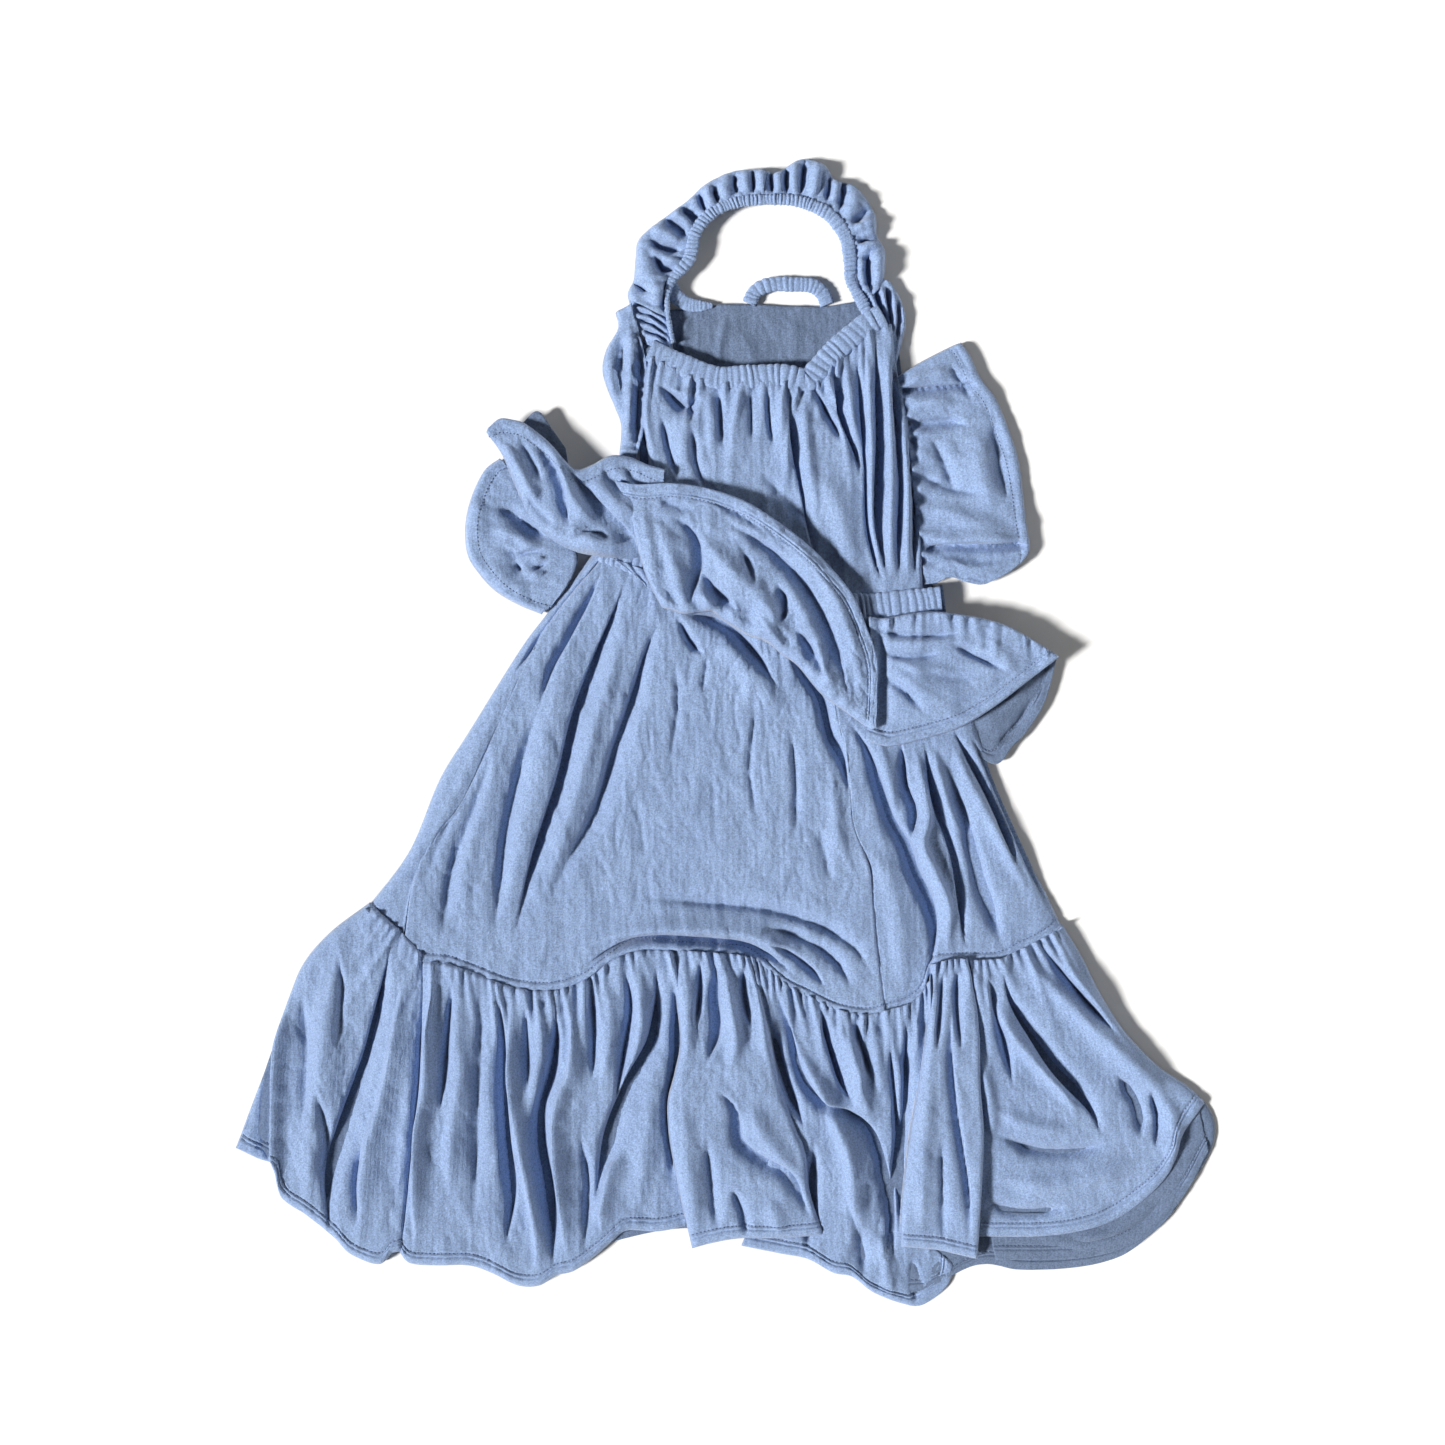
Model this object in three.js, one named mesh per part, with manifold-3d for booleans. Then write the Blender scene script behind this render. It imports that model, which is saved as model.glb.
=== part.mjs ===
// Ruffled jersey pinafore dress, lying flat on its back with the front uppermost.
// Millimetres. +X runs across the dress, +Y up it to the neck straps, and +Z away from the
// surface that it lies on. The outlines are drawn from the waist: x is across from the middle
// of the bodice and y is up from the right end of the waist. The finished group is then moved
// so that its box stands on the origin.
import * as THREE from 'three';
import { mergeVertices } from 'three/addons/utils/BufferGeometryUtils.js';
import Module from 'manifold-3d';

const wasm = await Module();
wasm.setup();

// Driving dimensions: heights of the layers
const backLayer = 5; // gathered jersey of the back half, on the surface
const bodyGap = 8; // room between the back half and the front half
const frontLayer = 6; // gathered jersey of the front half
const looseLayer = 12; // a loose flutter or peplum fold that lies on the surface
const peplumLayer = 8; // the part of the peplum that lies smooth
const flapLayer = 15; // the part of the peplum that is turned up, with its folds
const fitGap = 0.4; // clearance between neighbouring pieces

// Driving dimensions: lengths along the dress
const bodiceLength = 200; // waist line to the middle of the front neckline
const backRise = 66; // the back neckline stands this far above the front one
const strapFootLength = 24; // gathered foot of a strap, back neckline to ring
const skirtLength = 345; // waist line to the tier seam at its lowest on the left
const hemRuffleLength = 250; // tier seam to hem
const peplumDrop = 112; // waist casing to the peplum's hem

// Driving dimensions: widths across the dress
const waistLeft = 162; // bodice middle to the left end of the waist
const waistRight = 143; // bodice middle to its right end
const waistRise = 45; // the left end of the waist lies this far above the right one
const neckLeft = 114; // bodice middle to the left end of the front neck casing
const neckRight = 86; // bodice middle to its right end
const seamLeft = 370; // bodice middle to the left end of the tier seam
const seamRight = 250; // bodice middle to its right end
const flareLeft = 119; // the hem flares this far past the left end of the tier seam
const flareRight = 140; // and this far past its right end
const flutterReach = 95; // the right flutter reaches this far past the bodice
const sideFold = 15; // width of the side of the dress where front turns down to back

// Driving dimensions: elastics and the casings around them
const casingWall = 1.2; // gathered jersey on each side of an elastic
const waistCasingWidth = 25;
const neckCasingWidth = 20;
const strapCasingWidth = 9;
const backStrapWidth = 13;
const bandHeight = 7; // waist or neck casing, over both faces
const strapHeight = 6; // strap casing, over both faces

// Driving dimensions: the two neck straps, which meet at the top of half a ring
const ringInnerRadius = 71;
const ringMiddleX = -16;
const strapRuffleWidth = 28;
const scallopDepth = 3;
const scallopsPerStrap = 9;

// Levels that follow from the driving dimensions
const frontFloor = backLayer + bodyGap;
const frontTop = frontFloor + frontLayer;
const bandTop = frontFloor + bandHeight;
const overFront = bandTop + fitGap;
const neckY = bodiceLength;
const backNeckY = neckY + backRise;
const ringY = backNeckY + strapFootLength;
const seamY = -skirtLength;
const hemY = seamY - hemRuffleLength;
const hemLeft = seamLeft + flareLeft;
const hemRight = seamRight + flareRight;

const jersey = { color: 0x8a9ec6, roughness: 0.95, metalness: 0 };
const elasticRubber = { color: 0xe4e2da, roughness: 0.8, metalness: 0 };

const dress = new THREE.Group();

function addPiece(name, geometry, look = jersey) {
  const mesh = new THREE.Mesh(geometry, new THREE.MeshStandardMaterial(look));
  mesh.name = name;
  dress.add(mesh);
}

const mix = (a, b, share) => a + (b - a) * share;
const reversed = (points) => [...points].reverse();
const shifted = (points, dx, dy = 0) => points.map(([x, y]) => [x + dx, y + dy]);

// A point between two corners, by its shares of the way across and of the way down
const between = (from, to, across, down) => [mix(from[0], to[0], across), mix(from[1], to[1], down)];

// A smooth line through a few points
function smooth(points, steps) {
  const curve = new THREE.SplineCurve(points.map(([x, y]) => new THREE.Vector2(x, y)));
  return curve.getPoints(steps).map((point) => [point.x, point.y]);
}

// The line that runs beside a path: to its left where offset is positive
function beside(path, offset) {
  const last = path.length - 1;
  return path.map(([x, y], i) => {
    const before = path[Math.max(i - 1, 0)];
    const after = path[Math.min(i + 1, last)];
    const run = Math.hypot(after[0] - before[0], after[1] - before[1]);
    return [x - offset * (after[1] - before[1]) / run, y + offset * (after[0] - before[0]) / run];
  });
}

// A path that is longer by the same length at both ends
function longer(path, length) {
  const end = (point, next) => {
    const run = Math.hypot(point[0] - next[0], point[1] - next[1]);
    return between(next, point, 1 + length / run, 1 + length / run);
  };
  return [end(path[0], path[1]), ...path.slice(1, -1), end(path.at(-1), path.at(-2))];
}

const strip = (path, width) => [...beside(path, width / 2), ...reversed(beside(path, -width / 2))];

// A flat layer: the outline, from one height to another
function layer(outline, low, high) {
  const shape = new THREE.Shape(outline.map(([x, y]) => new THREE.Vector2(x, y)));
  const geometry = new THREE.ExtrudeGeometry(shape, { depth: high - low, bevelEnabled: false });
  return geometry.translate(0, 0, low);
}

function toSolid(geometry) {
  geometry.deleteAttribute('normal');
  geometry.deleteAttribute('uv');
  const merged = mergeVertices(geometry, 1e-4);
  const mesh = new wasm.Mesh({
    numProp: 3,
    vertProperties: new Float32Array(merged.attributes.position.array),
    triVerts: new Uint32Array(merged.index.array),
  });
  return new wasm.Manifold(mesh);
}

function toGeometry(solid) {
  const mesh = solid.getMesh();
  const geometry = new THREE.BufferGeometry();
  geometry.setAttribute('position', new THREE.BufferAttribute(mesh.vertProperties, 3));
  geometry.setIndex(new THREE.BufferAttribute(mesh.triVerts, 1));
  return geometry;
}

// The part of a layer that lies between two fold lines, each drawn from top to bottom
function section(outline, leftLine, rightLine, low, high) {
  const room = [...beside(leftLine, fitGap / 2), ...reversed(beside(rightLine, -fitGap / 2))];
  return toSolid(layer(outline, low, high)).intersect(toSolid(layer(room, low - 1, high + 1)));
}

// An elastic in its casing, which is a flat tube that is open at both ends
function addCasedBand(casingName, elasticName, path, width, low, high) {
  const channelWidth = width - 2 * casingWall;
  const outside = toSolid(layer(strip(path, width), low, high));
  const channel = layer(strip(longer(path, 1), channelWidth), low + casingWall, high - casingWall);
  addPiece(casingName, toGeometry(outside.subtract(toSolid(channel))));
  const elasticOutline = strip(longer(path, -fitGap), channelWidth - 2 * fitGap);
  const elasticLow = low + casingWall + fitGap;
  const elasticHigh = high - casingWall - fitGap;
  addPiece(elasticName, layer(elasticOutline, elasticLow, elasticHigh), elasticRubber);
}

// Waist: a casing on the front half and one on the back half, each with its elastic
const waistLine = smooth([
  [-waistLeft, waistRise], [mix(-waistLeft, waistRight, 0.33), 12],
  [mix(-waistLeft, waistRight, 0.7), -4], [waistRight, 3],
], 10);
const overWaist = beside(waistLine, waistCasingWidth / 2 + fitGap);
const underWaist = beside(waistLine, -waistCasingWidth / 2 - fitGap);
addCasedBand('waist_casing_front', 'waist_elastic_front', waistLine, waistCasingWidth,
  frontFloor, bandTop);
addCasedBand('waist_casing_back', 'waist_elastic_back', waistLine, waistCasingWidth,
  0, backLayer);

// Front neckline: across from the left strap, then steeply up to the right strap
const neckLine = smooth([
  [-neckLeft, neckY + 26], [-83, neckY + 12], [-56, neckY + 1], [0, neckY + 2],
  [22, neckY], [40, neckY + 15], [62, neckY + 37], [neckRight, neckY + 56],
], 16);
const underNeck = beside(neckLine, -neckCasingWidth / 2 - fitGap);
addCasedBand('neck_casing_front', 'neck_elastic_front', neckLine, neckCasingWidth,
  frontFloor, bandTop);

// Bodice. Its right side, where the flutter is sewn, is a straight armhole line.
const armholeTop = [107, neckY + 4];
const armholeFoot = [waistRight - 12, overWaist.at(-1)[1] + 3];
const armholeRun = Math.hypot(armholeTop[0] - armholeFoot[0], armholeTop[1] - armholeFoot[1]);
const armholeInset = 5; // front bodice, in from the armhole line
const overWaistLeftOf = (x) => overWaist.filter((point) => point[0] < x);

addPiece('bodice_front', layer([
  ...overWaistLeftOf(armholeFoot[0] - armholeInset - 2),
  [armholeFoot[0] - armholeInset, armholeFoot[1]],
  [armholeTop[0] - armholeInset, armholeTop[1]],
  ...reversed(underNeck),
  ...smooth([
    [-neckLeft - 9, neckY - 25], [-neckLeft - 14, bodiceLength * 0.6], [-waistLeft + 17, 78],
  ], 4),
], frontFloor, frontTop));

const backNeckLine = smooth([
  [-98, backNeckY - 21], [-76, backNeckY - 5], [-50, backNeckY + 2], [-3, backNeckY + 3],
  [47, backNeckY - 2], [armholeTop[0] - 9, backNeckY - 12],
], 10);
addPiece('bodice_back', layer([
  ...overWaistLeftOf(armholeFoot[0] - 3),
  [armholeFoot[0] - 1, armholeFoot[1]],
  [armholeTop[0] - 1, armholeTop[1]],
  ...reversed(backNeckLine),
  [-neckLeft - 3, neckY + 22], [-neckLeft - 14, bodiceLength * 0.85], [-waistLeft + 22, 90],
], 0, backLayer));

// Neck straps: each an arc of elastic in its casing, with a ruffle sewn to the outer side
const strapLow = 6;
const ruffleLow = strapLow - 3;
const ruffleHigh = strapLow + strapHeight + 3;
const casingRadius = ringInnerRadius + strapCasingWidth / 2;
const ruffleRadius = ringInnerRadius + strapCasingWidth + fitGap;
const joinAngle = 0.005; // half the gap between the straps where they meet

function arc(radius, from, to, steps, wave = 0, waves = 0) {
  return Array.from({ length: steps + 1 }, (_, i) => {
    const angle = mix(from, to, i / steps);
    const reach = radius - wave * (1 - Math.cos(2 * Math.PI * waves * i / steps)) / 2;
    return [ringMiddleX + reach * Math.cos(angle), ringY + reach * Math.sin(angle)];
  });
}

const straps = {
  right: [0, Math.PI / 2 - joinAngle],
  left: [Math.PI / 2 + joinAngle, Math.PI],
};
for (const [side, [from, to]] of Object.entries(straps)) {
  addCasedBand(`strap_${side}_casing`, `strap_${side}_elastic`, arc(casingRadius, from, to, 14),
    strapCasingWidth, strapLow, strapLow + strapHeight);
  const steps = 4 * scallopsPerStrap;
  const edge = arc(ruffleRadius + strapRuffleWidth, from, to, steps, scallopDepth, scallopsPerStrap);
  const sewn = arc(ruffleRadius, from, to, 14);
  addPiece(`strap_${side}_ruffle`, layer([...edge, ...reversed(sewn)], ruffleLow, ruffleHigh));
}

// Gathered feet of the straps, from the ring down to the ends of the neck casing
const footY = ringY - 1;
const ringInside = ringInnerRadius - 1;
const ringOutside = ruffleRadius + strapRuffleWidth + 1;
const footLow = backLayer + fitGap;
addPiece('strap_left_foot', layer([
  [ringMiddleX - ringOutside, footY], [-neckLeft - 10, neckY + 37], [-neckLeft + 2, neckY + 38],
  [-neckLeft + 15, neckY + 44], [-neckLeft + 22, backNeckY - 4], [ringMiddleX - ringInside, footY],
], footLow, bandTop));
addPiece('strap_right_foot', layer([
  [ringMiddleX + ringInside, footY], [neckRight - 16, neckY + 66], [neckRight + 2, neckY + 67],
  [neckRight + 14, neckY + 50], [neckRight + 23, neckY + 38], [neckRight + 25, backNeckY - 14],
  [neckRight + 21, backNeckY + 3], [ringMiddleX + ringOutside, footY],
], footLow, bandTop));

// Straps of the back half, where they cross behind the neck
const backStrapLow = backNeckY + 4 + fitGap + backStrapWidth / 2;
addCasedBand('back_strap_casing', 'back_strap_elastic',
  smooth([[-26, backStrapLow - 1], [8, backStrapLow + 4], [42, backStrapLow - 2]], 6),
  backStrapWidth, 0, backLayer);
addCasedBand('back_strap_end_casing', 'back_strap_end_elastic',
  [[-96, backNeckY + 16], [-62, backNeckY + 9]],
  strapCasingWidth, 0, backLayer);

// Flutters: ruffles along the armholes, the left one folded in against the bodice. Its top end
// lies beside the strap's foot and the rest of it beside the neck casing's end.
const besideFoot = ringMiddleX - ringOutside;
addPiece('flutter_left', layer([
  ...smooth([
    [besideFoot - 7.6, backNeckY + 2], [besideFoot - 20.6, backNeckY - 4],
    [besideFoot - 21.6, backNeckY - 16], [-neckLeft - 44, neckY + 28],
    [-neckLeft - 45, neckY + 8], [-neckLeft - 35, neckY - 22], [-neckLeft - 30, neckY - 45],
    [-neckLeft - 31, neckY - 68],
  ], 14),
  [-neckLeft - 23, neckY - 70], [-neckLeft - 17, neckY - 25], [-neckLeft - 8, neckY + 12],
  [-neckLeft - 16, neckY + 40],
], 0, looseLayer));

const fromArmhole = (reach, down) => between(
  [armholeTop[0] + 1 + reach * flutterReach, armholeTop[1]],
  [armholeFoot[0] + 1 + reach * flutterReach, armholeFoot[1]], down, down);
addPiece('flutter_right', layer([
  fromArmhole(0, 0.02), fromArmhole(0.45, -0.14), fromArmhole(0.6, -0.16), fromArmhole(0.68, -0.12),
  ...smooth([
    fromArmhole(0.75, 0.01), fromArmhole(0.95, 0.3), fromArmhole(0.99, 0.5), fromArmhole(1, 0.72),
    fromArmhole(0.97, 0.88), fromArmhole(0.76, 0.98), fromArmhole(0.4, 1), fromArmhole(0.2, 0.96),
  ], 12),
  fromArmhole(0.02, 0.99),
], 0, looseLayer));

// Skirt: a centre panel and two side panels in front, and one panel behind
const seamEndLeft = [-seamLeft, seamY + 73];
const seamEndRight = [seamRight, seamY + 58];
const seamShape = [
  [-1, 73], [-0.91, 44], [-0.81, 24], [-0.68, 7], [-0.55, 0], [-0.39, 29], [-0.23, 38],
  [-0.04, 25], [0.12, -8], [0.38, -19], [0.51, -5], [0.65, 24], [0.77, 27], [0.92, 44], [1, 58],
];
const tierSeam = smooth(
  seamShape.map(([share, rise]) => [share * (share < 0 ? seamLeft : seamRight), seamY + rise]), 40);
const overSeam = beside(tierSeam, fitGap / 2);
const underSeam = beside(tierSeam, -fitGap / 2);
const skirtLeftEdge = smooth([
  underWaist[0], between(underWaist[0], seamEndLeft, 0.24, 0.14),
  between(underWaist[0], seamEndLeft, 0.56, 0.48), between(underWaist[0], seamEndLeft, 0.83, 0.82),
  overSeam[0],
], 8);
const skirtRightEdge = smooth([
  underWaist.at(-1), between(underWaist.at(-1), seamEndRight, 0.4, 0.48),
  between(underWaist.at(-1), seamEndRight, 0.68, 0.73), overSeam.at(-1),
], 8);
const skirtOutline = [
  ...reversed(underWaist), ...skirtLeftEdge.slice(1, -1), ...overSeam,
  ...reversed(skirtRightEdge).slice(1, -1),
];
const farLeft = [[-2000, 2000], [-2000, -2000]];
const farRight = [[2000, 2000], [2000, -2000]];
const leftPanelSeam = smooth([
  [-waistLeft + 9, waistRise + 60], [-waistLeft + 9, waistRise - 8],
  between(underWaist[0], seamEndLeft, 0.3, 0.3), between(underWaist[0], seamEndLeft, 0.63, 0.67),
  [-seamLeft + 33, seamY + 45], [-seamLeft + 28, seamY - 60],
], 12);
const rightPanelSeam = smooth([
  [44, 60], [46, -30], [62, seamY * 0.48], [80, seamY * 0.75], [95, seamY - 19], [98, seamY - 80],
], 10);
addPiece('skirt_side_left', toGeometry(
  section(skirtOutline, farLeft, leftPanelSeam, backLayer + fitGap, frontTop)));
addPiece('skirt_front_centre', toGeometry(
  section(skirtOutline, leftPanelSeam, rightPanelSeam, frontFloor, frontTop)));
const skirtRightFold = [...skirtRightEdge, ...reversed(shifted(skirtRightEdge, -sideFold))];
addPiece('skirt_side_right', toGeometry(
  section(skirtOutline, rightPanelSeam, farRight, frontFloor, frontTop)
    .add(toSolid(layer(skirtRightFold, backLayer + fitGap, frontFloor + 1))
      .intersect(toSolid(layer(skirtOutline, 0, frontTop))))));
addPiece('skirt_back', layer(skirtOutline, 0, backLayer));

// Hem ruffle. Its front half lies in sections, each between two deep folds.
const hemShape = [
  [-0.963, 97], [-0.92, 88], [-0.9, 54], [-0.84, 43], [-0.79, 12], [-0.72, 3], [-0.69, 15],
  [-0.64, 1], [-0.53, -6], [-0.45, -17], [-0.38, -3], [-0.31, 24], [-0.17, 34], [-0.15, 19],
  [-0.07, 19], [0.05, 13], [0.12, -5], [0.22, -23], [0.29, -34], [0.33, -33], [0.35, -16],
  [0.4, 2], [0.55, -1], [0.69, 2], [0.83, 22], [0.91, 48], [0.97, 81],
];
const hemEndLeft = [-hemLeft, hemY + 106];
const hemEndRight = [hemRight, hemY + 126];
const ruffleLeftEdge = smooth([
  underSeam[0], between(underSeam[0], hemEndLeft, 0.41, 0.15),
  between(underSeam[0], hemEndLeft, 0.58, 0.29), between(underSeam[0], hemEndLeft, 0.75, 0.58),
  hemEndLeft,
], 10);
const ruffleRightEdge = smooth([
  underSeam.at(-1), between(underSeam.at(-1), hemEndRight, 0.3, 0.4),
  between(underSeam.at(-1), hemEndRight, 0.59, 0.67), hemEndRight,
], 10);
const ruffleOutline = [
  ...reversed(underSeam), ...ruffleLeftEdge.slice(1),
  ...hemShape.map(([share, rise]) => [share * (share < 0 ? hemLeft : hemRight), hemY + rise]),
  ...reversed(ruffleRightEdge).slice(0, -1),
];
addPiece('hem_ruffle_back', layer(ruffleOutline, 0, backLayer));

const foldLine = (topX, middleX, footX) => smooth([
  [topX, seamY + 90], [topX, seamY + 20], [middleX, mix(seamY, hemY, 0.5)], [footX, hemY],
  [footX, hemY - 60],
], 10);
const folds = [
  farLeft, foldLine(-310, -322, -336), foldLine(-102, -130, -152), foldLine(-24, 18, 38),
  foldLine(138, 114, 110), foldLine(173, 174, 180), farRight,
];
const ruffleSections = [
  ['hem_ruffle_left', 13], ['hem_ruffle_centre_left', 14], ['hem_ruffle_centre', 16],
  ['hem_ruffle_under_fold', 8], ['hem_ruffle_front_fold', 18], ['hem_ruffle_right', 13],
];
const outerFolds = {
  hem_ruffle_left: [...ruffleLeftEdge, ...reversed(shifted(ruffleLeftEdge, sideFold))],
  hem_ruffle_right: [...ruffleRightEdge, ...reversed(shifted(ruffleRightEdge, -sideFold))],
};
ruffleSections.forEach(([name, thickness], i) => {
  let piece = section(ruffleOutline, folds[i], folds[i + 1], frontFloor, frontFloor + thickness);
  if (outerFolds[name]) {
    const side = toSolid(layer(outerFolds[name], backLayer + fitGap, frontFloor + 1));
    piece = piece.add(side.intersect(toSolid(layer(ruffleOutline, 0, frontTop))));
  }
  addPiece(name, toGeometry(piece));
});

// Peplum: one ruffle around the waist, in the five stretches that it lies in
const hingeY = -10; // just under the waist casing, where the right stretch hangs from
const peplumRightStart = 94; // far enough from the turned-up stretch for that to swing up
addPiece('peplum_right', layer([
  [peplumRightStart, hingeY - 1], [150, hingeY - 1],
  ...smooth([[173, hingeY - 3], [199, hingeY - 11], [225, hingeY - 23], [245, hingeY - 37]], 4),
  ...smooth([
    [220, -0.53 * peplumDrop], [183, -0.82 * peplumDrop], [154, -0.96 * peplumDrop],
    [123, -1.07 * peplumDrop], [peplumRightStart, -1.1 * peplumDrop],
  ], 6),
], overFront, overFront + peplumLayer));

addPiece('peplum_back', layer([
  ...shifted(skirtRightEdge.slice(1, 4), 3),
  [190, -140], [200, -132], [220, -114], [237, -87], [246, -49], [200, -28],
], 0, looseLayer));

// The stretch that is turned up over the bodice, from its fold line to its hem
addPiece('peplum_flap', layer([
  ...smooth([
    [-105, -4], [-113, 9], [-127, 43], [-131, 69], [-148, 106],
  ], 5),
  ...smooth([
    [-103, 106], [-68, 102], [-34, 91], [-3, 72], [24, 51], [45, 30], [64, 6], [76, -22],
    [85, -50], [85, -73],
  ], 14),
  [81, -89], [84, -113], [75, -110], [38, -86], [38, -62], [13, -55], [-10, -36], [-29, -27],
  [-52, -15], [-82, -6],
], overFront, overFront + flapLayer));

// The crumpled left stretch: a tongue on top and the lobe that it comes out of
addPiece('peplum_left_tongue', layer([
  [-263, 154], [-253, 162], [-230, 161], [-219, 170], [-213, 168], [-194, 143], [-193, 133],
  [-179, 122], [-167, 129], [-134, 131], [-104, 119], [-104, 108], [-150, 108], [-135, 69],
  [-131, 46], [-160, 60], [-187, 76], [-228, 98], [-248, 130],
], overFront, overFront + flapLayer - 2));
addPiece('peplum_left_lobe', layer([
  ...smooth([
    [-248, 129], [-266, 120], [-277, 99], [-282, 75], [-280, 51], [-272, 30], [-253, 12],
    [-235, 0], [-218, -6],
  ], 12),
  [-200, 14], [-180, 42], [-170, 62], [-158, 78], [-180, 98], [-212, 116],
], 0, bandTop));

// Stand the box of the dress on the origin
const box = new THREE.Box3().setFromObject(dress);
const middle = box.getCenter(new THREE.Vector3());
dress.position.set(-middle.x, -middle.y, -box.min.z);

export default dress;
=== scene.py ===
"""The looks of a ruffled jersey pinafore dress that lies flat: cloth sheets with their folds and gathers, ruched
elastic bands, seams and hem stitching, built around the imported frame. Lengths are the dress's own millimetres,
x from the middle of the bodice, y up from the waist and z up from the floor, until to_frame() places them."""

import math

import bpy
import numpy as np

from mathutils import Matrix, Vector


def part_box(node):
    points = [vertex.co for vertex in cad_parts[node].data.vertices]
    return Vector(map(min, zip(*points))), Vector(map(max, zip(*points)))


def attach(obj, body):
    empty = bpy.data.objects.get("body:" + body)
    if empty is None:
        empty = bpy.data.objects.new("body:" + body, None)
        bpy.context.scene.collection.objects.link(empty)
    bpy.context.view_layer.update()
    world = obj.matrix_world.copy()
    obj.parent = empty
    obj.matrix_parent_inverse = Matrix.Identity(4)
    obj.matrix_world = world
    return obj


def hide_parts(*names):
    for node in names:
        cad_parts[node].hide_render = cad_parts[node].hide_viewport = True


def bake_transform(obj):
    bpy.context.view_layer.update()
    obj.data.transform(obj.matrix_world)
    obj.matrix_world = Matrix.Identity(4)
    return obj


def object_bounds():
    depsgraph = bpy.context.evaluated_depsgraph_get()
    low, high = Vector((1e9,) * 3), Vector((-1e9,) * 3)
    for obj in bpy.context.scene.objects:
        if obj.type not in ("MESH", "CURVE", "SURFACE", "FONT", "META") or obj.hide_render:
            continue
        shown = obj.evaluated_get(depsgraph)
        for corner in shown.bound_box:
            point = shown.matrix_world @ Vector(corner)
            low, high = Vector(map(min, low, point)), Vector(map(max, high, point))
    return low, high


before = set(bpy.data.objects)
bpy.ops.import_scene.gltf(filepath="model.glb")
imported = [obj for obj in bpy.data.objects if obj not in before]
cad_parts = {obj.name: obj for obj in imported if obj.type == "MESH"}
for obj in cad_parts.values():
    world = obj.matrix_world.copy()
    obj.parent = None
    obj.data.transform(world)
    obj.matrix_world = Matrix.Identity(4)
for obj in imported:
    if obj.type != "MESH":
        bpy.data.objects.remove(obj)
cad_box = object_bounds()
CAD_WIDTH = 879.0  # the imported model's width in the dress's own millimetres
UNIT = (cad_box[1][0] - cad_box[0][0]) / CAD_WIDTH
RING_MIDDLE = -16.0  # x of the strap ring's middle
RING_FOOT = 290.0  # y of the ends of the ring
ORIGIN = np.array([
    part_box("strap_left_casing")[1][0] - RING_MIDDLE * UNIT,
    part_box("strap_left_casing")[0][1] - RING_FOOT * UNIT,
    cad_box[0][2],
])
ACROSS_STRAPS = ("dress", "neck_straps")  # the two bodies that a piece spans at the ring's feet; such a piece rides on neither
STEP = 2.0  # spacing of the cloth's mesh
FINE = 24  # points of a smooth line between each two given ones
AROUND = 28  # points around a band
CLOTH = 1.0  # thickness of the jersey
HEM, TWIN = 12.5, 3.0  # turned-up hem from its edge to its stitching, and between the stitching's two rows
STRIP = 7.0  # topstitched strip above a seam
SEW_PITCH, SEW_LONG, SEW_THICK, SEW_LIFT = 3.6, 2.6, 0.75, 0.5  # stitches: spacing, length, thickness, height
VALLEY, RIDGE, GATHER = 2.1, 1.4, 1.9  # how far the lists of folds and gathers are carried

# ---------------------------------------------------------------- curves and sheets


def to_frame(points):
    return ORIGIN + np.asarray(points, float) * UNIT


def smoothstep(x):
    x = np.clip(x, 0, 1)
    return x * x * (3 - 2 * x)


def spline(points, count, even=True):
    """Points on a smooth line through the given ones, evenly spaced or as many between each two given ones."""
    p = np.asarray(points, float)
    if len(p) == 2:
        return p[0] + (p[1] - p[0]) * np.linspace(0, 1, count)[:, None]
    p = np.vstack([2 * p[0] - p[1], p, 2 * p[-1] - p[-2]])
    u = np.linspace(0, 1, FINE, endpoint=False)[:, None]
    parts = []
    for a, b, c, d in zip(p[:-3], p[1:-2], p[2:-1], p[3:], strict=True):
        parts.append(0.5 * (2 * b + (c - a) * u + (2 * a - 5 * b + 4 * c - d) * u**2
                            + (3 * b - a - 3 * c + d) * u**3))
    fine = np.vstack([*parts, p[-2:-1]])
    run = run_of(fine) if even else np.arange(len(fine))
    at = np.linspace(0, run[-1], count)
    return np.stack([np.interp(at, run, fine[:, k]) for k in range(fine.shape[1])], 1)


def pairs(line):
    """A line given as x, y, x, y and so on, as an array of points."""
    return np.reshape(np.asarray(line, float), (-1, 2))


def length(points):
    return np.linalg.norm(np.diff(np.asarray(points, float), axis=0), axis=1).sum()


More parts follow.
